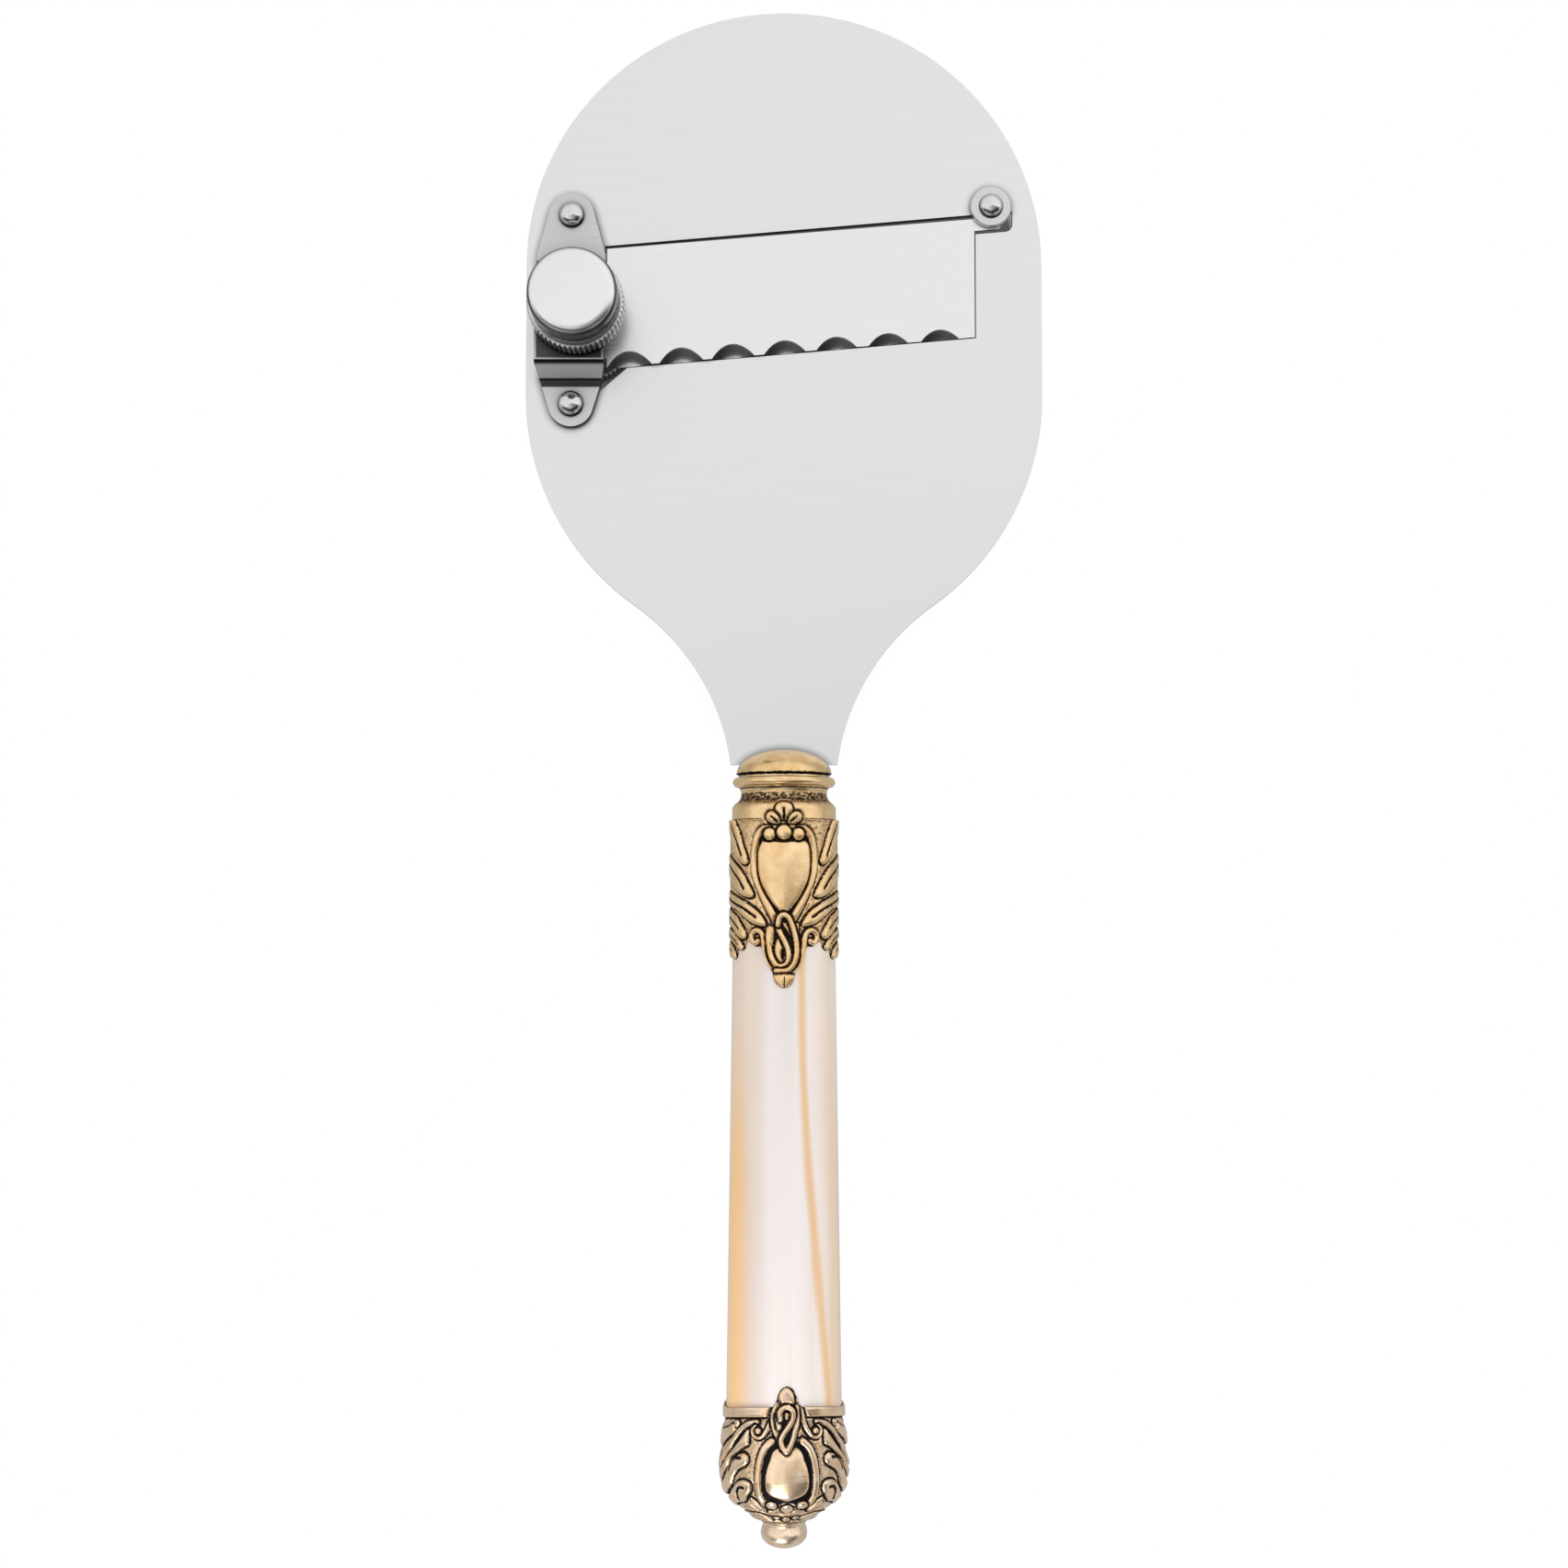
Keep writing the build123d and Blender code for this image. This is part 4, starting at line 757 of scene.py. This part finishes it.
# %% Drawing of the upper sleeve
sleeve_top_y, grip_shoulder_y, rim_y = -9.15, -26.95, -102.85
frame_side = [(17, -10.8), (24, -11.0), (30, -12.1), (33, -14.1), (34, -16.6), (31, -18.6), (25, -20.6),
              (18, -22.8), (11, -24.7), (8, -25.6)]
sleeve_elements = both_sides([
    ("leaf", [(82, -28.7), (68, -29.7), (62, -31.0), (67, -31.5), (78, -31.3), (86, -30.4), (86, -29)], 0),
    ("vein", [(84, -29.6), (72, -30.2)], 0.16),
    ("leaf", [(88, -26.4), (63, -27.5), (54, -28.5), (48, -29.6), (54, -30.1), (63, -29.4), (75, -28.6),
              (88, -28.2)], 0),
    ("vein", [(84, -27.4), (66, -28.3), (57, -29.2)], 0.18),
    ("leaf", [(88, -23.2), (63, -24.5), (53, -25.8), (46, -27.0), (44, -28.0), (51, -28.3), (61, -27.6),
              (71, -26.6), (88, -25.8)], 0),
    ("vein", [(86, -24.4), (69, -25.3), (56, -26.6)], 0.22),
    ("leaf", [(88, -20.4), (57, -21.7), (41, -22.7), (30, -23.7), (23, -24.8), (19, -26.0), (25, -26.3),
              (36, -25.8), (48, -24.8), (63, -23.6), (88, -22.6)], 0),
    ("vein", [(86, -21.4), (67, -22.4), (47, -23.4), (31, -24.8)], 0.26),
    ("leaf", [(88, -14.4), (60, -16.5), (49, -17.9), (41, -19.4), (34, -21.1), (38, -21.7), (50, -21.4),
              (62, -20.4), (74, -19.2), (88, -17.8)], 0),
    ("vein", [(86, -15.8), (70, -17.2), (57, -18.5), (47, -20.2)], 0.28),
    ("leaf", [(66, -9.0), (54, -11.5), (49, -13.3), (44, -14.8), (42, -16.1), (48, -16.4), (57, -15.6),
              (67, -14.2), (76, -12.4), (88, -10.6), (88, -9.0)], 0),
    ("vein", [(74, -9.8), (65, -11.4), (57, -13.2), (51, -14.9)], 0.26),
    ("leaf", symmetric([(-3, -9.4), (-8, -8.6), (-9.5, -7.6), (-7, -6.7)], (0, -6.4)), 0),
    ("vein", [(0, -7.6), (0, -9.2)], 0.28),
    ("leaf", [(4, -9.9), (5, -8.9), (10, -8.1), (16, -8.0), (19.5, -8.7), (18, -9.5), (13, -9.9), (8, -10.0)],
     0),
    ("vein", [(7, -9.6), (13, -8.9)], 0.24),
    ("hollow", [(0, -11.4)] + symmetric(frame_side, (0, -25.9)), 0),
    ("bead", frame_side, 0.60),
    ("shield", symmetric([(-24, -12.75), (-28.5, -14.3), (-28.5, -17.1), (-25.5, -19.1), (-19.5, -20.9),
                          (-12.5, -22.5), (-5, -23.8)], (0, -24.2))
     + [(10, -12.75), (0, -12.9), (-10, -12.75)], 0),
    ("boss", [(15.6, -11.6)], 1.0),
    ("boss", [(0, -11.3)], 1.2),
    ("bead", [(11, -33.2), (16.5, -32.1), (20, -30.6), (21.6, -29.1), (22.4, -28.0), (25, -27.2),
              (31, -26.9), (36, -27.5), (36, -28.4), (32, -28.9), (28.5, -28.6)], 0.45),
]) + [
    ("leaf", [(9.3, -26.2), (13.1, -25.7), (16, -26), (16.3, -27.5), (15.2, -28.9), (13.1, -29.5)], 0),
    ("hollow", [(-9, -26.5), (-4, -25.5), (5, -27), (12, -29), (11.5, -31.5), (6, -32.6), (-4, -32.6),
                (-12, -31.5), (-12, -28.5)], 0),
    ("leaf", [(-6.5, -28), (-9.3, -29.1), (-10.3, -30.1), (-9.3, -31.1), (-6.5, -31.8), (-2.8, -32.1),
              (0.5, -31.6), (1.2, -30.5), (0, -29.3), (-3, -28.4)], 0),
    ("hollow", [(-2.5, -29.6), (-4.2, -30.6), (-3.4, -31.4), (-1, -31.7), (1.6, -31.2), (1.8, -30.2),
                (0.5, -29.4)], 0),
    ("bead", [(-15, -26.8), (-15.4, -28.1)], 0.66),
    ("bead", [(-15.3, -27.4), (-15.6, -28.6), (-15.5, -29.8), (-13.1, -31.2), (-7.9, -32.4), (-1.9, -32.6),
              (3.2, -32.1), (4.8, -31.1), (3.9, -29.9), (0.6, -28.6), (-3.6, -27.4), (-6.3, -26.2),
              (-5.2, -25.0), (-0.5, -24.4)], 0.44),
    ("swell", [(-15, -26.8), (-15.4, -28.1)], 0.66),
    ("swell", [(-15.4, -28.1), (-15.6, -28.9)], 0.56),
    ("bead", [(-6.3, -26.0), (-4.9, -24.9), (-0.5, -24.4), (4.4, -24.8), (7.8, -25.8), (10.6, -27.1),
              (12.6, -28.4), (13.4, -29.8), (12.8, -31.1), (9.8, -32.3), (4.6, -33.1), (-1.9, -33.35),
              (-8.4, -33.3)], 0.44),
    ("leaf", symmetric([(-11, -33.9), (-11, -34.5), (-9, -35.2), (-5, -35.75)], (0, -35.95))
     + [(0, -33.75)], 0),
    ("vein", [(0.5, -34.3), (0.5, -35.8)], 0.10),
]
hem = [(0, -36.05), (4, -35.9), (8, -35.5), (10.5, -34.9), (11.6, -34.2), (12.4, -33.6), (16, -32.7),
       (19.5, -31.7), (22.3, -30.6), (24.8, -29.6), (29, -29.5), (33, -29.5), (38.5, -29.0), (44, -28.6),
       (47, -29.8), (52, -30.2), (59, -30.0), (62, -31.2), (67, -31.6), (80, -31.4), (90, -31.4)]
crown = [(0, -6.0), (6, -6.1), (10.5, -6.7), (12.3, -7.5), (17, -7.4), (21.5, -7.9), (23, -8.6),
         (23.8, sleeve_top_y), (90, sleeve_top_y)]
sleeve_profile = [(-6.0, 8.40), (-7.0, 8.72), (-9.1, 8.72), (-9.6, 8.6), (-40.0, 8.6)]
print(len(sleeve_elements), "elements on the sleeve")

# %% [markdown]
# The carved surface is a grid of points: columns round the front half, and rows from the
# upper edge to the hem. The grid is fine enough for a groove of a quarter of a
# millimetre. The relief is shallower on the flanks, where a two-part mould must let go.

# %% Upper sleeve
columns, rows = 230, 204
half_angle = np.linspace(-90, 90, columns, endpoint=False)
angles = np.concatenate([half_angle, half_angle + 180])
share = np.linspace(0, 1, rows)[:, None]
wall, gap = 0.06, 0.01
flank_start, flank_width, flank_swell = 58, 28, 0.14
bore_r, collar_r, grip_top_r, grip_foot_r = 7.6, 8.2, 8.3, 9.25


def edge_line(table):
    """Places of an edge over the columns, from a table of its right half."""
    return np.interp(np.abs(half_angle), [a for a, _ in table], [y for _, y in table])


def radius_at(y, profile):
    """Radius of a turned form at a place along the handle."""
    return np.interp(-y, [-place for place, _ in profile], [r for _, r in profile])


def rounded_off(inward, width, drop):
    """How far a surface drops in mm, at a distance inward from its edge."""
    return drop * (1 - np.sqrt(np.clip(inward / width, 0, 1)))


grip_profile = [(grip_shoulder_y, grip_top_r), (rim_y, grip_foot_r)]
top_y, hem_y = edge_line(crown), edge_line(hem)
along = top_y + share * (hem_y - top_y)
ground_r = radius_at(along, sleeve_profile)
angle = np.broadcast_to(half_angle, along.shape)
height, patina = carve((angle, along, ground_r), sleeve_elements, crest=0.46, groove_width=0.32)
flank = np.clip((np.abs(angle) - flank_start) / flank_width, 0, 1)
height = height * (1 - 0.5 * flank) + flank_swell * flank
height -= rounded_off(along - hem_y, 0.3, 0.2) + rounded_off(top_y - along + 0.05, 0.15, 0.05)
hem_all, top_all = both_faces(hem_y), both_faces(top_y)
inner = [(radius_at(hem_all, grip_profile) + wall, hem_all), (grip_top_r + wall, grip_shoulder_y),
         (bore_r, grip_shoulder_y), (bore_r, sleeve_top_y - 2 * gap), (collar_r, sleeve_top_y - 2 * gap),
         (radius_at(top_all, sleeve_profile) - 0.35, top_all - gap)]
upper_sleeve = sleeve("carved_ferrule", angles, (ground_r + height, along, patina), inner, upper_brass)
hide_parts("upper_ferrule")
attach(upper_sleeve, "frame")

# %% [markdown]
# The pommel has the same motifs the other way up: a bud that climbs onto the grip, a
# looped ribbon between two scrolls, a shield in its frame, and leaves round the belly.
# Its outside is a turned profile, so the grid runs along that profile, and widths are
# measured there too. The rim rises gently toward the bud on each face. The carving sits
# 3 degrees off the middle, as screwed-on ends do.

# %% Drawing of the pommel
pommel_turn = 3
pommel_profile = [(-98.0, 9.40), (-102.85, 9.45), (-104.95, 9.50), (-106.5, 9.62), (-109.1, 9.85),
                  (-112.6, 10.08), (-114.9, 9.82), (-116.3, 9.20), (-117.8, 7.90), (-119.0, 6.1),
                  (-119.9, 5.4)]
foot_y = -119.9
frame_side = [(14.6, -106.4), (18.7, -107.0), (22, -107.8), (24.4, -108.9), (25.9, -110.0), (26.7, -111.4),
              (26.8, -112.8), (26.3, -114.2), (24.7, -115.3), (21.4, -116.2), (17.7, -116.8)]
pommel_elements = both_sides([
    ("leaf", [(88, -106.4), (70, -105.4), (60, -104.6), (54, -105.1), (60, -106.2), (72, -107.4),
              (88, -109)], 0),
    ("leaf", [(58.5, -103.9), (52.5, -103.7), (50, -104.2), (54.1, -105.1)], 0),
    ("bead", [(29.5, -103.6), (37.1, -103.9), (43.3, -104.5), (48.8, -105.3), (54.7, -106.4), (60.4, -107.6),
              (66, -108.8), (76, -110.4), (88, -112)], 0.42),
    ("leaf", [(37.9, -104.9), (37.4, -106), (38.0, -107.2), (43.9, -107.8), (51.5, -108.8), (57.7, -109.7),
              (66, -111.3), (76, -113.0), (88, -114.4), (88, -112.9), (76, -111.4), (65.8, -109.6),
              (58.5, -108.5), (51.3, -107.2), (44.9, -105.9), (40.9, -105.1)], 0),
    ("leaf", [(53.9, -109.4), (46.8, -108.8), (41.4, -108.6), (37.8, -109.1), (37.5, -109.8), (40.7, -110.5),
              (45.9, -111), (50.2, -111.5), (53.6, -112.2), (56.4, -113), (59.5, -114), (70, -115.4),
              (88, -116.6), (88, -115.2), (74, -113.6), (66, -112.2), (63.3, -110.9), (59, -110)], 0),
    ("vein", [(46, -109.4), (53, -109.6), (58, -110.4), (61, -111.6)], 0.30),
    ("leaf", [(56, -114.2), (51.5, -113.4), (45.4, -112.8), (39.5, -112.7), (34.8, -113), (33.8, -113.7),
              (35, -114.4), (38.5, -115.1), (44, -116.2), (50, -116.5), (60, -117), (74, -117.9),
              (88, -118.4), (88, -117.3), (74, -116.3), (62, -115.2)], 0),
    ("vein", [(42, -113.9), (47, -114.0), (50, -114.8), (51, -116.0)], 0.30),
    ("leaf", [(36, -115.2), (31, -115.6), (24, -116.6), (23, -117.6), (30, -117.4), (37, -116.6)], 0),
    ("bead", [(62, -118.6), (45, -118.5), (36.5, -118.3), (30, -118.6), (22, -119.1)], 0.40),
    ("band", [(10, -100.6), (10, -102.6), (20, -102.75), (35, -103.0), (50, -103.35), (67, -103.85),
              (80, -104.3), (92, -104.6), (110, -104.6), (110, -100)], 0),
    ("hollow", [(0, -105.9)] + symmetric(frame_side, (0, -116.0)), 0),
    ("bead", frame_side, 0.56),
    ("shield", [(0, -108.5)] + symmetric([
        (-4.6, -107.7), (-7.9, -107.4), (-12, -107.7), (-14.4, -108.3), (-15.9, -109.2), (-18.3, -110.3),
        (-19.8, -111.5), (-20.1, -112.8), (-19.1, -113.9), (-15.9, -114.6), (-11.1, -115), (-6.3, -115.3)],
        (0, -115.6)), 0),
    ("boss", [(15.2, -116.4)], 0.86),
    ("boss", [(13.5, -118.9)], 0.56),
    ("vein", [(13.0, -118.9), (14.0, -118.9)], 0.16),
    ("boss", [(0, -116.95)], 1.0),
    ("boss", [(0, -119.2)], 0.62),
    ("vein", [(-0.4, -119.3), (0.4, -119.3)], 0.18),
    ("bead", [(9.6, -100.4), (12.3, -101.4), (14.6, -102.6), (16.6, -103.8), (19.9, -104.9), (24.2, -105.7),
              (28.7, -105.9), (32.3, -105.6), (33.2, -104.9), (30.6, -104.4)], 0.38),
    ("boss", [(28, -104.95)], 0.50),
]) + [
    ("hollow", [(-8, -101.9), (-5, -101.2), (0, -101.0), (5, -101.3), (8.6, -102.6), (7.6, -105), (2, -107.2),
                (-5, -106.6), (-10, -104.6), (-11, -103)], 0),
    ("leaf", [(-8.2, -101.3), (-8.3, -100.3), (-7.7, -99.3), (-5.2, -98.5), (-0.9, -98.15), (3.6, -98.5),
              (6.3, -99.3), (7.2, -100.3), (7.6, -101.3), (3.6, -100.9), (-0.5, -100.7), (-4.6, -100.9)], 0),
    ("bead", [(-9.6, -100.9), (-11.9, -101.9), (-12.8, -102.9), (-12.3, -103.9), (-9.9, -105.2)], 0.50),
    ("bead", [(-8.6, -102.3), (-8.9, -103.1), (-7.6, -104.3)], 0.40),
    ("bead", [(-0.4, -107.9), (3.1, -107), (5.6, -105.9), (8.2, -104.4), (9.3, -103.0), (8.9, -101.2)], 0.42),
    ("bead", [(-6.4, -103.0), (-7.0, -102.1), (-5.1, -101.45), (-0.5, -101.15), (4.0, -101.45),
              (5.7, -102.1), (5.2, -103), (1.6, -104.1), (-3.2, -105.2), (-5.7, -106.2), (-4.6, -107.2),
              (-0.6, -107.9)], 0.42),
    ("swell", [(-2.0, -107.7), (-0.4, -107.95), (3.1, -107)], 0.42),
    ("bead", [(-0.5, -102.2), (-0.5, -102.8)], 0.28),
]
crest_line = [(0, -98.0), (4, -98.2), (6.6, -98.6), (8.6, -99.2), (9.9, -100.0), (11.4, -100.8),
              (15, -101.2), (30, -101.35), (45, -101.7), (60, -102.15), (75, -102.55), (90, -102.75)]
print(len(pommel_elements), "elements on the pommel")

# %% Pommel
profile_y, profile_r = (np.array(v) for v in zip(*pommel_profile))
profile_run = np.concatenate([[0], np.cumsum(np.hypot(np.diff(profile_y), np.diff(profile_r)))])


def down_profile(y):
    """Distance down the profile at a place along the handle."""
    return np.interp(-np.asarray(y), -profile_y, profile_run)


drawn = [(shape, [(a, -float(down_profile(y))) for a, y in points], size)
         for shape, points, size in pommel_elements]
top_y = edge_line(crest_line)
top_run, foot_fade = down_profile(top_y), 0.8
run = top_run + share * (profile_run[-1] - top_run)
along, ground_r = np.interp(run, profile_run, profile_y), np.interp(run, profile_run, profile_r)
height, patina = carve((angle, -run, ground_r), drawn, crest=0.44, groove_width=0.34)
height *= np.clip((profile_run[-1] - run) / foot_fade, 0, 1)
height -= rounded_off(run - top_run + 0.05, 0.3, 0.12)
top_all = both_faces(top_y)
rod_r, socket_r, floor_y = 4.15, 8.45, -109.85
inner = [(rod_r, foot_y), (rod_r, floor_y), (socket_r, floor_y), (socket_r, rim_y + gap),
         (grip_foot_r + wall, rim_y), (radius_at(top_all, grip_profile) + wall, top_all)]
carved_pommel = sleeve("carved_pommel", angles + pommel_turn, (ground_r + height, along, patina), inner,
                       pommel_brass)
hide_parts("pommel_cap")
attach(carved_pommel, "frame")

# %% [markdown]
# The knob's button was turned on a lathe, so a half section is drawn and spun. The CAD
# model has the same section with a few straight steps round its shoulder. Here the
# shoulder is one smooth round, and the top is a touch domed, so that reflections run on
# smoothly.


# %% Turned button of the knob
def spun(name, section, centre, material, around=128):
    """A closed piece from a half section of (radius, height), about an upright axis."""
    turns = [2 * math.pi * k / around for k in range(around)]
    points = [(centre.x + r * math.cos(turn), centre.y + r * math.sin(turn), z)
              for r, z in section for turn in turns]
    faces = ring_faces(len(section), around, False)
    faces.append(tuple(range(around))[::-1])
    faces.append(tuple(range((len(section) - 1) * around, len(section) * around)))
    piece = closed_piece(name, points, faces, material)
    piece.data.set_sharp_from_angle(angle=math.radians(32))
    return piece


cap_low, cap_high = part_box("knob_cap")
cap_centre = (cap_low + cap_high) / 2
cap_r = (cap_high.x - cap_low.x) / 2
shoulder_r, doming, side_h, flare_h, neck_h, neck_r, spigot_r = (
    v * MM for v in (1.6, 0.15, 1.6, 1.4, 1.2, 6.2, 4.4))
shoulder_steps, top_steps = 24, 9
side_top = cap_high.z - shoulder_r
side_low = side_top - side_h
neck_top = side_low - flare_h
neck_low = neck_top - neck_h
top_r = cap_r - shoulder_r
section = [(spigot_r, cap_low.z), (spigot_r, neck_low), (neck_r, neck_low), (neck_r, neck_top),
           (cap_r, side_low), (cap_r, side_top)]
for step in range(1, shoulder_steps + 1):
    turn = math.pi / 2 * step / shoulder_steps
    section.append((top_r + shoulder_r * math.cos(turn), side_top + (shoulder_r - doming) * math.sin(turn)))
for step in range(1, top_steps):
    outward = 1 - step / top_steps
    section.append((top_r * outward, cap_high.z - doming * outward ** 2))
button = spun("turned_button", section, cap_centre, button_steel)
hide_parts("knob_cap")
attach(button, "knob")

# %% [markdown]
# Rivets repeat: two hold the bracket and one holds the blade. A rivet is a domed head,
# a shank and a closed tail, so Geometry Nodes join a flattened sphere and two short
# cylinders, and set a copy at each place. The same tree serves both sizes, through its
# named inputs.


# %% Rivet tree
def shape_tree(name, sizes):
    """An empty Geometry Nodes tree with named sizes, and what it is given."""
    tree = bpy.data.node_groups.new(name, "GeometryNodeTree")
    tree.interface.new_socket("Geometry", in_out="INPUT", socket_type="NodeSocketGeometry")
    for size in sizes:
        tree.interface.new_socket(size, in_out="INPUT", socket_type="NodeSocketFloat")
    tree.interface.new_socket("Geometry", in_out="OUTPUT", socket_type="NodeSocketGeometry")
    return tree, add(tree, "NodeGroupInput").outputs


def set_at_points(tree, points, shape, material):
    """Close a tree: a copy of the shape at each point, as plain faces with a material."""
    copies = add(tree, "GeometryNodeInstanceOnPoints", Points=points, Instance=shape)
    plain = add(tree, "GeometryNodeRealizeInstances", Geometry=copies.outputs[0])
    coated = add(tree, "GeometryNodeSetMaterial", Geometry=plain.outputs[0], Material=material)
    add(tree, "NodeGroupOutput", Geometry=coated.outputs[0])


def at_height(tree, geometry, height, scale=(1, 1, 1)):
    """Geometry scaled, then moved up by a height."""
    lift = add(tree, "ShaderNodeCombineXYZ", Z=height)
    return add(tree, "GeometryNodeTransform", Geometry=geometry, Translation=lift.outputs[0],
               Scale=scale).outputs[0]


def post(tree, radius, low, high):
    """An upright cylinder between two heights."""
    shape = add(tree, "GeometryNodeMeshCylinder", Vertices=48, Radius=radius,
                Depth=calc(tree, "SUBTRACT", high, low))
    return at_height(tree, shape.outputs[0], calc(tree, "MULTIPLY", calc(tree, "ADD", low, high), 0.5))


rivet_tree, given = shape_tree("domed rivets", (
    "Head Radius", "Head Height", "Seat", "Shank Radius", "Tail Radius", "Tail Top", "Tail Height"))
ball = add(rivet_tree, "GeometryNodeMeshUVSphere", Segments=64, Rings=40, Radius=1.0)
flat = add(rivet_tree, "ShaderNodeCombineXYZ", X=given["Head Radius"], Y=given["Head Radius"],
           Z=given["Head Height"])
head = at_height(rivet_tree, ball.outputs[0], given["Seat"], flat.outputs[0])
head = add(rivet_tree, "GeometryNodeSetShadeSmooth", Geometry=head).outputs[0]
shank = post(rivet_tree, given["Shank Radius"], given["Tail Top"], given["Seat"])
tail_low = calc(rivet_tree, "SUBTRACT", given["Tail Top"], given["Tail Height"])
tail = post(rivet_tree, given["Tail Radius"], tail_low, given["Tail Top"])
joined = add(rivet_tree, "GeometryNodeJoinGeometry")
for part in (head, shank, tail):
    rivet_tree.links.new(part, joined.inputs[0])
set_at_points(rivet_tree, given["Geometry"], joined.outputs[0], rivet_steel)
print("rivet tree has", len(rivet_tree.nodes), "nodes")


# %% Rivets in place
def grown(name, tree, seeds, sizes):
    """A plain mesh object from a node tree, its starting points and its named sizes."""
    mesh = bpy.data.meshes.new(name)
    mesh.from_pydata(seeds, [], [])
    source = in_scene(name + " source", mesh)
    maker = source.modifiers.new("maker", "NODES")
    maker.node_group = tree
    for socket in tree.interface.items_tree:
        if socket.name in sizes:
            maker[socket.identifier] = float(sizes[socket.name])
    evaluated = source.evaluated_get(bpy.context.evaluated_depsgraph_get())
    result = bpy.data.meshes.new_from_object(evaluated)
    bpy.data.objects.remove(source)
    print(name, "faces", len(result.polygons))
    return in_scene(name, result)


half_sheet, tail_r, tail_height = 0.6 * MM, 2.3 * MM, 0.6 * MM
tail = {"Tail Radius": tail_r, "Tail Top": axis_z - half_sheet, "Tail Height": tail_height}


def rivets(name, node, places, head_r, head_h, shank_r):
    """Rivets of one size, with their heads as high as those of a sized piece."""
    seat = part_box(node)[1].z - head_h
    piece = grown(name, rivet_tree, places, {
        "Head Radius": head_r, "Head Height": head_h, "Seat": seat, "Shank Radius": shank_r, **tail})
    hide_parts(node)
    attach(piece, "frame")


pair_low, pair_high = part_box("bracket_rivets")
pair_x = (pair_low.x + pair_high.x) / 2
pivot_y = (pivot_low.y + pivot_high.y) / 2
pair_places = [(pair_x, pair_low.y + tail_r, 0), (pair_x, pair_high.y - tail_r, 0)]
rivets("bracket_rivet_pair", "bracket_rivets", pair_places,
       head_r=2.15 * MM, head_h=1.7 * MM, shank_r=1.5 * MM)
rivets("pivot_rivet", "blade_rivet", [(pivot_x, pivot_y, 0)],
       head_r=2.05 * MM, head_h=1.55 * MM, shank_r=1.2 * MM)

# %% [markdown]
# The spindle under the bridge carries a fine thread. A thread is one ridge that follows
# a helix, which is a rule, so Geometry Nodes make it: a spiral, swept by a small
# three-sided profile, turned into plain faces and given its material.

# %% Spindle thread
thread_pitch, thread_r, thread_depth = 0.7 * MM, 2.0 * MM, 0.12 * MM
spindle_low, spindle_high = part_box("knob_spindle")
clip_low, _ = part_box("spindle_clip")
thread_base = spindle_low.z + thread_pitch
thread_turns = int((clip_low.z - thread_base) / thread_pitch)
thread_tree, given = shape_tree("helical thread", ("Radius", "Height", "Turns", "Depth"))
helix = add(thread_tree, "GeometryNodeCurveSpiral", Resolution=32, Rotations=given["Turns"],
            Start_Radius=given["Radius"], End_Radius=given["Radius"], Height=given["Height"])
ridge = add(thread_tree, "GeometryNodeCurvePrimitiveCircle", Resolution=3, Radius=given["Depth"])
swept = add(thread_tree, "GeometryNodeCurveToMesh", Curve=helix.outputs[0],
            Profile_Curve=ridge.outputs[0], Fill_Caps=True)
set_at_points(thread_tree, given["Geometry"], swept.outputs[0], inner_steel)
centre = (spindle_low + spindle_high) / 2
thread = grown("spindle_thread", thread_tree, [(centre.x, centre.y, thread_base)], {
    "Radius": thread_r, "Height": thread_turns * thread_pitch, "Turns": thread_turns,
    "Depth": thread_depth})
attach(thread, "knob")
print("thread of", thread_turns, "turns")
